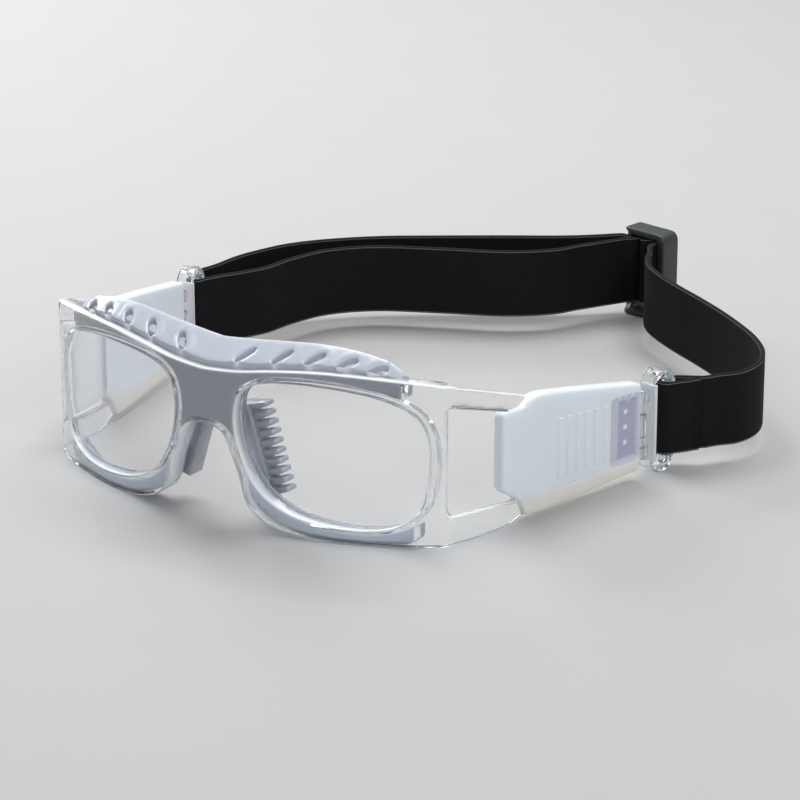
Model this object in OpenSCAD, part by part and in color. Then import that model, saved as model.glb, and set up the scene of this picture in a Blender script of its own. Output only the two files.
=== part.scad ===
// Sports protective goggles: a clear wraparound frame with windowed arms, two clear
// lenses, a soft grey liner, two milky arm sleeves, two swivelling strap hooks, and an
// elastic head strap with a slider.
// The origin is the crown of the nose arch on the plane of symmetry. +X is to one side,
// -Y is the way the wearer looks, and +Z is up. Pieces are drawn on the plane that the
// goggles rest on, and seat() lowers them to the origin.

/* [Front] */
// Height of the nose arch above the resting plane
arch_h = 33; // [28:0.5:38]
// Radius of the front face, seen from above
front_r = 138; // [120:1:180]
// Radius of the lens face, seen from above
lens_r = 155; // [140:1:190]
// Distance from the front face back to the lens, at the bridge
lens_setback = 4.8; // [3.6:0.1:6]
// Thickness of a lens
lens_t = 2; // [1.4:0.1:2.6]
// Clear lip that holds a lens, behind it
lip_t = 1.2; // [0.8:0.1:2]
// Depth of the groove that a lens edge sits in
groove = 1.2; // [0.8:0.1:1.4]
// Width of the clear ring round a lens
ring_w = 1.7; // [1.5:0.1:2.2]

/* [Arms] */
// Half width of the frame at the corners
corner_x = 76.1; // [72:0.1:84]
// Angle that an arm splays outwards
arm_splay = 11.75; // [6:0.25:16]
// Length of an arm, from the corner to the hook's swivel pin
arm_len = 87.8; // [75:0.1:105]
// Thickness of an arm
arm_t = 3; // [2.4:0.1:3.6]
// Radius of the bend from the front into an arm
corner_r = 8; // [5:0.5:10]

/* [Liner] */
// Thickness of the clear skin in front of the liner
skin_t = 2.6; // [1.8:0.1:3.2]
// How far the liner stands proud behind the frame
liner_proud = 3; // [2:0.1:4]
// Half width of the liner along the brow
brow_x = 62.5; // [55:0.5:66]
// Half width of the liner along the lower rims
lower_x = 66; // [58:0.5:68]
// Thickness of the brow shelf
shelf_t = 2.2; // [1.6:0.1:3]
// Slope of the brow shelf, rising backwards
shelf_slope = 30; // [20:1:36]
// Radius of the shelf's back edge, seen from above
shelf_back_r = 200; // [160:5:260]
// Depth of the shelf on the plane of symmetry
shelf_depth = 9.2; // [8:0.1:12]
// Width of a brow vent
vent_w = 2.2; // [1.6:0.1:3]
// Length of a brow vent
vent_l = 7; // [5:0.5:8]

/* [Sleeves] */
// Wall of a silicone sleeve
sleeve_wall = 0.9; // [0.7:0.1:1.4]
// Gap between a sleeve and the arm inside it
sleeve_gap = 0.1; // [0.05:0.05:0.3]
// Where the left sleeve's inner flap starts, along the arm
left_flap = 4; // [2:0.5:20]

/* [Hooks] */
// Radius of the rounded ends of a hook's ring
ring_r = 5.5; // [4.8:0.1:6.5]
// Height of a hook's ring
ring_h = 35; // [33:0.5:40]
// Depth of a hook's ring, across the arm
ring_d = 6; // [4.5:0.1:7]
// Radius of a hook's swivel pin
pin_r = 1; // [0.8:0.05:1.2]
// Running clearance round the swivel pin
pin_clear = 0.05; // [0.02:0.01:0.1]
// Radius of the bar that the strap goes round
bar_r = 1.6; // [1.2:0.1:1.9]

/* [Strap] */
// Width of the strap
strap_w = 25; // [22:0.5:27]
// Thickness of the strap
strap_t = 1.6; // [1.2:0.1:1.8]

/* [Slider] */
// Length of the slider along the strap
slider_l = 19.2; // [18:0.1:24]
// Depth of the slider across the strap
slider_d = 8.8; // [8:0.1:10]
// Thickness of the slider's end plates
slider_plate = 2.6; // [2.2:0.1:3.2]
// Height of the slider
slider_h = 33; // [32.5:0.5:38]

/* [Hidden] */
$fn = 64;

tall = 90;
front_stop = 40;
eps = 0.01;
front_y = -7.3;
lens_y = front_y + lens_setback;
back_y = lens_y + lens_t + lip_t;
front_c = [0, front_y + front_r];
lens_c = [0, lens_y + lens_r];
back_r = lens_r - lens_t - lip_t;
arm_dir = [sin(arm_splay), cos(arm_splay)];
arm_out = [cos(arm_splay), -sin(arm_splay)];

// Smooth line through points, with a number of steps between neighbours
function knot(p, i, closed) =
  closed ? p[(i + len(p)) % len(p)] : p[max(0, min(len(p) - 1, i))];
function blend_point(a, b, c, d, t) =
  0.5 * (2 * b + (c - a) * t + (2 * a - 5 * b + 4 * c - d) * t * t
    + (3 * b - a - 3 * c + d) * t * t * t);
function smooth(p, steps, closed = false) = [
  for (i = [0 : len(p) - (closed ? 1 : 2)], k = [0 : steps - 1])
    blend_point(knot(p, i - 1, closed), knot(p, i, closed),
      knot(p, i + 1, closed), knot(p, i + 2, closed), k / steps),
  if (!closed) p[len(p) - 1]
];

// Sideways unit vector at a point of a line, to the right of its direction
function side(p, i, closed) =
  let (d = knot(p, i + 1, closed) - knot(p, i - 1, closed)) [d.y, -d.x] / norm(d);
function grow(p, by) = [for (i = [0 : len(p) - 1]) p[i] + by * side(p, i, true)];
function band(p, t) = concat(
  [for (i = [0 : len(p) - 1]) p[i] + side(p, i, false) * t / 2],
  [for (i = [len(p) - 1 : -1 : 0]) p[i] - side(p, i, false) * t / 2]);
function flip(p) = [for (i = [len(p) - 1 : -1 : 0]) [-p[i].x, p[i].y]];
function arc(c, r, from, to, steps) =
  [for (k = [0 : steps]) c + r * [cos(from + (to - from) * k / steps),
    sin(from + (to - from) * k / steps)]];

// Lens opening seen from the front, from the nose corner round by the temple
lens_edge = smooth([
  [18.3, 16.2], [23.5, 11.3], [32, 7.4], [44, 5.4], [56, 5.6], [64.5, 8.6],
  [69, 14.5], [70.8, 25], [70.4, 36], [66.5, 43.5], [58, 48], [46, 50.2],
  [32, 50.6], [20, 49], [13.6, 45], [11.6, 38.5], [12, 31], [14.2, 23.5]
], 4, true);

// Edges of the front, seen from the front, for the +X half
nose_edge = smooth([
  [0, 33], [5, 32.3], [7.8, 30], [9.6, 26], [11.4, 21.5], [13.2, 16.5],
  [14.6, 11], [17, 6.8], [21, 4], [27, 1.9], [35, 0.5], [44, 0]
], 4);
foot = [[68, 0], [90, 2.5]];
brow_edge = smooth([
  [90, 51], [72, 53.4], [62, 54.4], [50, 55.2], [38, 55.2], [25, 54], [12, 52], [0, 51]
], 4);
half_front = concat(nose_edge, foot, brow_edge);

// Rounded corner between the front face and the arm's outer face
arm_base = [corner_x, 16.7];
bend_start = arm_base - corner_r * arm_out;
bend_gap = bend_start - front_c;
bend_b = bend_gap * arm_dir;
bend_run = -bend_b - sqrt(pow(bend_b, 2) - (bend_gap * bend_gap) + pow(front_r - corner_r, 2));
bend_c = bend_start + bend_run * arm_dir;
bend_angle = atan2(bend_c.y - front_c.y, bend_c.x - front_c.x);
arm_stop = arm_len + 20;
outer_line = concat(
  arc(front_c, front_r, -90, bend_angle, 24),
  arc(bend_c, corner_r, bend_angle, -arm_splay, 8),
  [arm_base + arm_stop * arm_dir]);

// Swivel: the arm's middle from its outer face, the knuckles on the pin, and their heights
arm_mid = -arm_t / 2;
knuckle_wall = 0.9;
knuckle_r = pin_r + knuckle_wall;
pin_z = [6, 29];
knuckle_z = [13.5, 21.5];
web_t = 2.2;
tab_h = 4;
pin_at = arm_base + arm_len * arm_dir + arm_mid * arm_out;

// Hook: its front post from the pin, and the centre of the bar that the strap goes round
swing_gap = 0.4;
post_gap = knuckle_r + swing_gap;
post_t = 3.2;
bar_s = post_gap + 2 * ring_r - 1.3;
ring_wall = 1.6;
ring_z = 0.1;
strap_z = ring_z + (ring_h - strap_w) / 2;
strap_room = 0.6;

// Slider: its place behind the pins, its turn, its centre bar and side rails
slider_at = [pin_at.x / 7, pin_at.y + 142.6];
slider_turn = -10;
slider_bar_r = 1.6;
rail_t = 3.4;
loop_gap = 0.1;

module seat() translate([0, 0, -arch_h]) children();
module upright(p, h, z = 0) translate([0, 0, z]) linear_extrude(h) polygon(p);
module seen_from_front(p) rotate([90, 0, 0]) linear_extrude(2 * tall, center = true) polygon(p);
module seen_from_side(p, t) rotate([90, 0, 90]) linear_extrude(t, center = true) polygon(p);
module both_sides() {
  children();
  mirror([1, 0, 0]) children();
}
module on_side(right) mirror([right ? 0 : 1, 0, 0]) children();
// Frame of reference of an arm: Y along it, X outwards from its outer face
module on_arm() translate([arm_base.x, arm_base.y, 0]) rotate([0, 0, -arm_splay]) children();
// The same, with Y measured from the swivel pin and X from the arm's middle
module on_pin() on_arm() translate([arm_mid, arm_len, 0]) children();
module on_slider() translate([slider_at.x, slider_at.y, 0]) rotate([0, 0, slider_turn]) children();

// Band between the front face and a back face, as tall as the goggles
module front_band(ahead, behind) {
  difference() {
    translate([0, front_c.y, 0]) cylinder(r = front_r - ahead, h = tall, $fn = 180);
    translate([0, lens_c.y, -1]) cylinder(r = back_r - behind, h = tall + 2, $fn = 180);
    translate([-tall, front_stop, -1]) cube([2 * tall, 400, tall + 2]);
  }
}
module front_outline() seen_from_front(concat(half_front, flip(half_front)));

/* Frame */
arm_side = [
  [-5, 1.6], [0, 1.2], [10, 0], [26, 0], [34, 2.8], [arm_len - 3, 4.6],
  [arm_len - 3, 31.4], [57, 36.6], [37, 39.8], [30.2, 42.9], [12.5, 48.6], [0, 53], [-5, 54]
];
window_side = [
  [-1.6, 11.8], [0, 10.2], [28.6, 7.7], [30, 9], [30, 36], [28.8, 37.2], [0.2, 45.8], [-1.6, 44.4]
];

module arm_plan() {
  difference() {
    upright(concat([[0, front_stop]], outer_line, [[0, arm_stop]]), tall);
    on_arm() translate([-200 - arm_t, -60, -1]) cube([200, 300, tall + 2]);
  }
}
module arm_blank() {
  intersection() {
    arm_plan();
    on_arm() seen_from_side(arm_side, 60);
  }
}
module knuckle() {
  on_pin() {
    translate([0, 0, knuckle_z[0]]) cylinder(r = knuckle_r, h = knuckle_z[1] - knuckle_z[0]);
    translate([-web_t / 2, -4, knuckle_z[0]]) cube([web_t, 4, knuckle_z[1] - knuckle_z[0]]);
  }
}
module lens_seat() {
  intersection() {
    difference() {
      translate([0, lens_c.y, 0]) cylinder(r = lens_r, h = tall, $fn = 180);
      translate([0, lens_c.y, -1]) cylinder(r = lens_r - lens_t, h = tall + 2, $fn = 180);
    }
    seen_from_front(grow(lens_edge, groove));
    translate([0, -20, 0]) cube([tall, 60, tall]);
  }
}
module frame() {
  color([0.86, 0.88, 0.9, 0.5]) seat() difference() {
    union() {
      intersection() {
        front_band(0, 0);
        front_outline();
        both_sides() upright(concat([[0, front_stop]], outer_line), tall);
      }
      both_sides() arm_blank();
      both_sides() knuckle();
    }
    both_sides() {
      seen_from_front(lens_edge);
      lens_seat();
      on_arm() translate([3.5, 0, 0]) seen_from_side(window_side, 2 * arm_t + 9);
      on_pin() translate([0, 0, -1]) cylinder(r = pin_r + pin_clear, h = tall);
    }
    liner_core();
  }
}

/* Lenses */
module lens(right) {
  color([0.9, 0.94, 0.96, 0.35]) seat() on_side(right) lens_seat();
}
module lens_right() lens(true);
module lens_left() lens(false);

/* Liner */
temple_cut = [[brow_x, 26], [200, 26], [200, 90], [brow_x, 90]];
lower_cut = [[lower_x, -5], [200, -5], [200, 27], [lower_x, 27]];
module liner_zone() {
  difference() {
    front_outline();
    both_sides() {
      seen_from_front(grow(lens_edge, ring_w));
      seen_from_front(temple_cut);
      seen_from_front(lower_cut);
    }
  }
}
module liner_core() {
  intersection() {
    front_band(skin_t, liner_proud);
    liner_zone();
  }
}
shelf_top = smooth([
  [0, 55.4], [12, 56.4], [25, 57], [36, 56.6], [46, 55], [55, 52.2], [brow_x, 49.2]
], 4);
shelf_front = 3;
module shelf_plan() {
  difference() {
    translate([0, front_c.y, 0]) cylinder(r = front_r - shelf_front, h = tall, $fn = 180);
    translate([0, front_y + shelf_front + shelf_depth + shelf_back_r, -1])
      cylinder(r = shelf_back_r, h = tall + 2, $fn = 180);
    translate([-tall, front_stop, -1]) cube([2 * tall, 400, tall + 2]);
  }
}
vents = [[12.2, -0.8], [25.1, 0.7], [35.9, 2.7], [46, 5.3], [55, 8.4]];
vent_turn = -38;
module shelf_strip(p) {
  lowered = [for (q = p) [q.x, q.y * cos(shelf_slope)]];
  under = [for (i = [len(p) - 1 : -1 : 0]) lowered[i] - [0, shelf_t]];
  rotate([90 + shelf_slope, 0, 0]) linear_extrude(2 * tall, center = true)
    polygon(concat(lowered, under));
}
module vent() {
  translate([0, 0, tall / 2]) cube([vent_w, vent_l - vent_w, tall], center = true);
  for (end = [-1, 1]) translate([0, end * (vent_l - vent_w) / 2, 0]) cylinder(d = vent_w, h = tall);
}
module brow_liner() {
  color([0.62, 0.65, 0.7, 0.8]) seat() difference() {
    union() {
      liner_core();
      difference() {
        intersection() {
          shelf_plan();
          both_sides() shelf_strip(shelf_top);
          translate([-brow_x, -20, 40]) cube([2 * brow_x, 60, 30]);
        }
        intersection() {
          front_outline();
          front_band(-1, 0);
        }
      }
    }
    both_sides() for (v = vents) translate([v.x, v.y, 45]) rotate([0, 0, vent_turn]) vent();
  }
}

/* Nose pads */
pad_low = [18, 9];
pad_high = [9, 38];
pad_fins = 9;
fin_t = 1.5;
fin_l = 5;
pad_t = 1.6;
pad_gap = 1.2;
pad_y = back_y + liner_proud + pad_gap;
pad_depth = 7;
pad_lean = atan2(pad_high.x - pad_low.x, pad_high.y - pad_low.y);
pad_len = norm(pad_high - pad_low);
module nose_pad(right) {
  color([0.66, 0.69, 0.72, 0.8]) seat() on_side(right)
    translate([pad_low.x, pad_y, pad_low.y]) rotate([0, pad_lean, 0]) {
      translate([-pad_t, 0, 0]) cube([pad_t, pad_depth, pad_len]);
      for (i = [0 : pad_fins - 1])
        translate([-eps, 1, 1 + i * (pad_len - 2 - fin_t) / (pad_fins - 1)])
          cube([fin_l, pad_depth - 2, fin_t]);
    }
}
module nose_pad_right() nose_pad(true);
module nose_pad_left() nose_pad(false);

/* Sleeves */
sleeve_end = arm_len - 2.3;
sleeve_side = [
  [22.4, 13.2], [24, 11.6], [29.5, 7.6], [31.5, 6], [33, 2.2], [34, 1.7], [sleeve_end, 3.6],
  [sleeve_end, 33], [57.4, 38.2], [38.5, 41.2], [36, 40.6], [33, 38.8], [24, 38.6], [22.4, 37]
];
pocket_side = [
  [28.4, 7.2], [32.2, 3.4], [33.4, 2.8 - sleeve_gap], [arm_len, 4.5], [arm_len, 31.4 + sleeve_gap],
  [57, 36.6 + sleeve_gap], [37, 39.8 + sleeve_gap], [29.4, 37.2]
];
rail_clear = [[20, 7.9], [30.2, 7.1], [36, 0], [20, -2]];
rail_clear_top = [[20, 39.7], [28.6, 37.1], [29.6, 36], [37.4, 39.7], [38.4, 45], [20, 50]];
flap_side = [
  [left_flap, 13], [left_flap + 1.5, 11.6], [25, 11.6], [25, 38.4], [left_flap + 1, 44], [left_flap, 43]
];
module sleeve(flap) {
  outer = arm_t / 2 + sleeve_gap;
  on_arm() translate([arm_mid, 0, 0]) {
    difference() {
      seen_from_side(sleeve_side, 2 * (outer + sleeve_wall));
      for (p = [pocket_side, rail_clear, rail_clear_top]) seen_from_side(p, 2 * outer);
    }
    if (flap) translate([-outer - sleeve_wall / 2, 0, 0]) seen_from_side(flap_side, sleeve_wall);
  }
}
module sleeve_right() color([0.88, 0.91, 0.94, 0.85]) seat() sleeve(false);
module sleeve_left() color([0.88, 0.91, 0.94, 0.85]) seat() on_side(false) sleeve(true);

/* Hooks */
module stadium(r, h, d) {
  rotate([90, 0, 90]) linear_extrude(d, center = true) union() {
    for (y = [r, h - r]) translate([0, y]) circle(r);
    translate([-r, r]) square([2 * r, h - 2 * r]);
  }
}
module hook(right) {
  color([0.9, 0.93, 0.95, 0.6]) seat() on_side(right) on_pin() {
    difference() {
      union() {
        difference() {
          translate([0, post_gap + ring_r, ring_z]) stadium(ring_r, ring_h, ring_d);
          difference() {
            translate([0, post_gap + ring_r, ring_z + ring_wall])
              stadium(ring_r - ring_wall, ring_h - 2 * ring_wall, tall);
            translate([0, 0, -1]) cube([tall, 2 * (post_gap + post_t), 3 * tall], center = true);
          }
          translate([-tall / 2, bar_s - bar_r - loop_gap, strap_z - strap_room])
            cube([tall, 2 * ring_r, strap_w + 2 * strap_room]);
        }
        translate([0, bar_s, ring_z + 2]) cylinder(r = bar_r, h = ring_h - 4);
        for (z = [pin_z[0], pin_z[1] - tab_h]) translate([0, 0, z]) {
          cylinder(r = knuckle_r, h = tab_h);
          translate([-web_t / 2, 0, 0]) cube([web_t, post_gap + 1, tab_h]);
        }
      }
      translate([0, 0, pin_z[0] - 1]) cylinder(r = pin_r, h = pin_z[1] - pin_z[0] + 2);
    }
  }
}
module hook_right() hook(true);
module hook_left() hook(false);

module hook_pin(right) {
  color("silver") seat() on_side(right) on_pin()
    translate([0, 0, pin_z[0]]) cylinder(r = pin_r, h = pin_z[1] - pin_z[0]);
}
module hook_pin_right() hook_pin(true);
module hook_pin_left() hook_pin(false);

/* Strap */
// A route is drawn for pins at route_pin, and follows the pins when they move
route_pin = [92.5, 103];
function fitted(route) =
  [for (p = route) [p.x * pin_at.x / route_pin.x, p.y + pin_at.y - route_pin.y]];
module strap_band(route) upright(band(smooth(fitted(route), 5), strap_t), strap_w, strap_z);
right_route = [
  [106, 129], [110.5, 135], [111.8, 143], [110.2, 151], [105.5, 160], [97, 169.5],
  [86, 178.5], [74, 187], [62, 194.5], [50, 201.5], [38.5, 209], [30, 216],
  [24.5, 223.5], [21, 231.5]
];
outer_route = [
  [-7, 234], [-16, 227], [-32, 216.5], [-51, 203.5], [-69, 190.5], [-83, 176.5], [-91, 165],
  [-95, 154], [-98, 143], [-100.5, 131]
];
inner_route = [
  [-3, 223.5], [-9, 212.5], [-22, 201.5], [-42, 192], [-63, 181], [-75.5, 167.5], [-80.5, 151.5],
  [-82.5, 138], [-88, 127.5]
];
module strap_right() color("black") seat() strap_band(right_route);
module strap_outer() color("black") seat() strap_band(outer_route);
module strap_inner() color("black") seat() strap_band(inner_route);

// Strap folded round a hook's bar. Behind it the two layers meet or part by spread, and both
// swing to one side.
fold_in = bar_r + loop_gap;
fold_out = fold_in + strap_t;
module strap_fold(spread, swing, reach) {
  translate([0, 0, strap_z]) linear_extrude(strap_w) {
    difference() {
      translate([0, bar_s]) circle(fold_out);
      translate([0, bar_s]) circle(fold_in);
      translate([-5, bar_s]) square([10, 10]);
    }
    for (leg = [-1, 1]) {
      near = leg * (fold_in + strap_t / 2);
      far = leg * spread + swing;
      polygon(band([[near, bar_s - eps], [near, bar_s + 2], [far, reach - 3], [far, reach]], strap_t));
    }
  }
}
module strap_loop_right() {
  color("black") seat() on_pin() strap_fold(strap_t / 2 - 0.1, 7, bar_s + 13);
}
module strap_loop_left() {
  color("black") seat() on_side(false) on_pin() strap_fold(5.8, -3.6, bar_s + 9.5);
}

// Strap inside the slider: the running layer round the centre bar, and the sewn end under it
wrap_r = slider_bar_r + loop_gap + strap_t;
run_line = smooth([
  [6.2, -8], [5.2, -4], [wrap_r + 1, 0], [3, 3.1], [0, wrap_r + 1], [-3, 3.1],
  [-wrap_r - 1, 0], [-wrap_r - 2.3, -3], [-8.2, -4.3], [-10.5, -5]
], 4);
module strap_threading() {
  color("black") seat() on_slider() translate([0, 0, strap_z]) {
    linear_extrude(strap_w) {
      polygon(band(run_line, strap_t));
      difference() {
        circle(wrap_r);
        circle(slider_bar_r + loop_gap);
      }
      polygon([[-wrap_r + 0.2, 0], [-7.5, -7.5], [-5.4, -9.6], [1.2, -3.2]]);
    }
  }
}

/* Slider */
// A rounded ring with a centre bar. The left rail is cut back in front, where the strap leaves
rail_u = (slider_l - rail_t) / 2;
rail_v = (slider_d - rail_t) / 2;
rails = [[rail_u, -rail_v], [-rail_u, -0.5]];
plate_r = 1.5;
slider_r = 3.5;
module rounded(w, h, r) {
  square([w - 2 * r, h], center = true);
  square([w, h - 2 * r], center = true);
  for (x = [-1, 1], y = [-1, 1]) translate([x * (w / 2 - r), y * (h / 2 - r)]) circle(r);
}
module slider() {
  color([0.16, 0.18, 0.17]) seat() on_slider() intersection() {
    union() {
      for (z = [0, slider_h - slider_plate]) translate([0, 0, z])
        linear_extrude(slider_plate) rounded(slider_l, slider_d, plate_r);
      cylinder(r = slider_bar_r, h = slider_h);
      for (rail = rails) {
        for (v = [rail.y, rail_v]) translate([rail.x, v, 0]) cylinder(r = rail_t / 2, h = slider_h);
        translate([rail.x - rail_t / 2, rail.y, 0]) cube([rail_t, rail_v - rail.y, slider_h]);
      }
    }
    translate([0, 0, slider_h / 2]) rotate([90, 0, 0])
      linear_extrude(2 * slider_d, center = true) rounded(slider_l, slider_h, slider_r);
  }
}

frame();
lens_right();
lens_left();
brow_liner();
nose_pad_right();
nose_pad_left();
sleeve_right();
sleeve_left();
hook_right();
hook_left();
hook_pin_right();
hook_pin_left();
strap_right();
strap_outer();
strap_inner();
strap_loop_right();
strap_loop_left();
strap_threading();
slider();
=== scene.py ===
"""Sports protective goggles: a clear wraparound frame with two lenses, a soft grey liner,
milky arm sleeves, swivelling strap hooks, and an elastic head strap with a slider.

Shapes are worked out in millimetres above the resting plane, and put() turns them into
metres in the frame's own space. X is to the side, -Y is the way the wearer looks.
"""

import math

import bmesh
import bpy
import numpy as np
from bpy.props import FloatProperty, FloatVectorProperty, IntProperty, PointerProperty
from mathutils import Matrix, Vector, geometry


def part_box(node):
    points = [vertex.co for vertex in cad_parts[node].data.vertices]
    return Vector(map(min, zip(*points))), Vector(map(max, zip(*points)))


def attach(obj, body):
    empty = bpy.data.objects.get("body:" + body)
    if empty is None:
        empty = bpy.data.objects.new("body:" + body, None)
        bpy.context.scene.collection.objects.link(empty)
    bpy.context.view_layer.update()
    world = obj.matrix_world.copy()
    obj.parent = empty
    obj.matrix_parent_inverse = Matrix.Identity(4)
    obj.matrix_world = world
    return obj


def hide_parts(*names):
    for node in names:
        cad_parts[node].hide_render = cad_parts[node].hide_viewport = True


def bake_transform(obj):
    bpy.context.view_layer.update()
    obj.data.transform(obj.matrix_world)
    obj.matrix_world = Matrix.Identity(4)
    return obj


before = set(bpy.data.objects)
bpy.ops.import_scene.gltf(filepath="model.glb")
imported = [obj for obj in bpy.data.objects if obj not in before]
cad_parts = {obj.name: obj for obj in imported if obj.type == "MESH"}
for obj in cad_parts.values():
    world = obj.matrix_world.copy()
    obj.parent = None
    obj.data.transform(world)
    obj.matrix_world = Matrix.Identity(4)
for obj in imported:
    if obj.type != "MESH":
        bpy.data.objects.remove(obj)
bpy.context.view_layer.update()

bl_info = {
    "name": "Sports Goggles",
    "version": (1, 0, 0),
    "blender": (4, 5, 0),
    "location": "View3D > Sidebar > Goggles",
    "description": "Builds clear sports goggles with a liner, sleeves and an elastic strap",
    "category": "Object",
}

MM = 0.001
REST_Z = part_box("frame")[0].z
SIDES = {"right": 1, "left": -1}


# ---------------------------------------------------------------- settings

class GogglesSizes(bpy.types.PropertyGroup):
    """Sizes that change how the pieces are finished"""

    frame_round: FloatProperty(
        name="Frame edge", description="Rounding of the clear frame's edges",
        default=0.7 * MM, min=0.2 * MM, max=1.2 * MM, subtype="DISTANCE", unit="LENGTH")
    liner_round: FloatProperty(
        name="Liner edge", description="Rounding of the soft liner's edges",
        default=0.9 * MM, min=0.2 * MM, max=1.5 * MM, subtype="DISTANCE", unit="LENGTH")
    strap_thick: FloatProperty(
        name="Strap thickness", description="Thickness of the elastic webbing",
        default=1.6 * MM, min=1.2 * MM, max=1.8 * MM, subtype="DISTANCE", unit="LENGTH")
    pad_fins: IntProperty(
        name="Nose pad fins", description="Number of fins on one nose pad",
        default=10, min=6, max=12)
    sleeve_ribs: IntProperty(
        name="Sleeve ribs", description="Number of upright ribs on one sleeve",
        default=6, min=3, max=8)


class GogglesColours(bpy.types.PropertyGroup):
    """Colours of the finishes"""

    clear: FloatVectorProperty(
        name="Clear plastic", description="Tint of the frame and hooks",
        default=(0.97, 0.985, 0.99), size=3, min=0, max=1, subtype="COLOR")
    liner: FloatVectorProperty(
        name="Liner", description="Colour of the soft grey liner",
        default=(0.30, 0.31, 0.36), size=3, min=0, max=1, subtype="COLOR")
    sleeve: FloatVectorProperty(
        name="Sleeve", description="Colour of the milky silicone",
        default=(0.79, 0.84, 0.88), size=3, min=0, max=1, subtype="COLOR")
    strap: FloatVectorProperty(
        name="Strap", description="Colour of the elastic webbing",
        default=(0.006, 0.006, 0.007), size=3, min=0, max=1, subtype="COLOR")
    thread: FloatVectorProperty(
        name="Selvage thread", description="Colour of the strap's edge threads",
        default=(0.2, 0.2, 0.205), size=3, min=0, max=1, subtype="COLOR")
    slider: FloatVectorProperty(
        name="Slider", description="Colour of the slider's plastic",
        default=(0.028, 0.032, 0.030), size=3, min=0, max=1, subtype="COLOR")
    floor: FloatVectorProperty(
        name="Floor", description="Colour of the floor",
        default=(0.46, 0.45, 0.44), size=3, min=0, max=1, subtype="COLOR")


def sizes():
    return bpy.context.scene.goggles_sizes


def colours():
    return bpy.context.scene.goggles_colours


# ---------------------------------------------------------------- lines and outlines

def put(points):
    """Millimetres above the resting plane, to metres in the frame's space."""
    return np.asarray(points, float) * MM + np.array([0, 0, REST_Z])


def smooth(knots, pitch=1.0, closed=False):
    """Even points along a smooth line through the knots."""
    p = np.asarray(knots, float)
    n = len(p)
    pick = (lambda i: p[i % n]) if closed else (lambda i: p[max(0, min(n - 1, i))])
    t = np.linspace(0, 1, 24, endpoint=False)[:, None]
    parts = []
    for i in range(n if closed else n - 1):
        a, b, c, d = pick(i - 1), pick(i), pick(i + 1), pick(i + 2)
        parts.append(0.5 * (2 * b + (c - a) * t + (2 * a - 5 * b + 4 * c - d) * t ** 2
                            + (3 * b - a - 3 * c + d) * t ** 3))
    parts.append(p[:1] if closed else p[-1:])
    return even(np.vstack(parts), pitch, closed)


def even(line, pitch, closed=False):
    """The same line with its points an even pitch apart."""
    if closed and np.hypot(*(line[0] - line[-1])) > 1e-9:
        line = np.vstack([line, line[:1]])
    run = np.concatenate([[0], np.cumsum(np.linalg.norm(np.diff(line, axis=0), axis=1))])
    steps = max(3, int(round(run[-1] / pitch)))
    at = np.linspace(0, run[-1], steps + 1)
    out = np.column_stack([np.interp(at, run, column) for column in line.T])
    return out[:-1] if closed else out


def corners(points, radius, steps=6):
    """A closed outline with its corners rounded."""
    p = np.asarray(points, float)
    out = []
    for i in range(len(p)):
        a, b, c = p[i - 1], p[i], p[(i + 1) % len(p)]
        to_a, to_c = a - b, c - b
        cut = min(radius, 0.45 * np.hypot(*to_a), 0.45 * np.hypot(*to_c))
        start, end = b + to_a / np.hypot(*to_a) * cut, b + to_c / np.hypot(*to_c) * cut
        for t in np.linspace(0, 1, steps):
            out.append((1 - t) ** 2 * start + 2 * t * (1 - t) * b + t ** 2 * end)
    return np.array(out)


def area(loop):
    x, y = loop[:, 0], loop[:, 1]
    return 0.5 * np.sum(x * np.roll(y, -1) - y * np.roll(x, -1))


def turned(loop, sign):
    """The loop, anticlockwise for a positive sign and clockwise for a negative one."""
    return loop if area(loop) * sign > 0 else loop[::-1]


def left_of(loop):
    """Unit vectors to the left of a closed loop's direction, at its points."""
    d = np.roll(loop, -1, 0) - np.roll(loop, 1, 0)
    d /= np.maximum(np.linalg.norm(d, axis=1), 1e-12)[:, None]
    return np.column_stack([-d[:, 1], d[:, 0]])


def grown(loop, by):
    return turned(loop, 1) - left_of(turned(loop, 1)) * by


def flipped(points):
    """The other half: mirrored, and in the order that carries on from the first half."""
    return np.asarray(points, float)[::-1] * [-1, 1]


def inside(points, loops):
    """True where a point has an odd number of the loops' edges to its right."""
    odd = np.zeros(len(points), bool)
    x, y = points[:, 0], points[:, 1]
    for loop in loops:
        a, b = loop, np.roll(loop, -1, 0)
        for (ax, ay), (bx, by) in zip(a, b):
            if ay != by:
                hit = (ay > y) != (by > y)
                odd ^= hit & (x < (bx - ax) * (y - ay) / (by - ay) + ax)
    return odd


def distance(points, loop):
    """Distance from each point to a closed loop."""
    a, d = loop, np.roll(loop, -1, 0) - loop
    size = np.maximum((d ** 2).sum(1), 1e-12)
    out = np.empty(len(points))
    for i in range(0, len(points), 2000):
        rel = points[i:i + 2000, None, :] - a[None]
        t = np.clip((rel * d).sum(2) / size, 0, 1)
        out[i:i + 2000] = np.sqrt((((rel - t[:, :, None] * d) ** 2).sum(2)).min(1))
    return out


# ---------------------------------------------------------------- meshes

SHARP = math.radians(38)


def to_mesh(name, verts, faces, sharp=SHARP, marks=None):
    """A closed mesh with outward normals and smooth shading, from millimetres."""
    mesh = bpy.data.meshes.new(name)
    mesh.from_pydata(put(verts).tolist(), [], faces)
    # The 'rim' mark paints a white highlight on clear finishes; the 'shade' mark mixes in a soft finish's
    # second colour, painted light on the liner.
    for label in ("rim", "shade"):
        values = (marks or {}).get(label, np.zeros(len(verts)))
        mesh.attributes.new(label, "FLOAT", "POINT").data.foreach_set(
            "value", np.asarray(values, np.float32))
    dress(mesh, sharp)
    return mesh


def marked(mesh, value, label="shade"):
    """The same mesh, all of it with one value of the finish's mark."""
    layer = mesh.attributes.get(label) or mesh.attributes.new(label, "FLOAT", "POINT")
    layer.data.foreach_set("value", np.full(len(mesh.vertices), value, np.float32))
    return mesh


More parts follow.
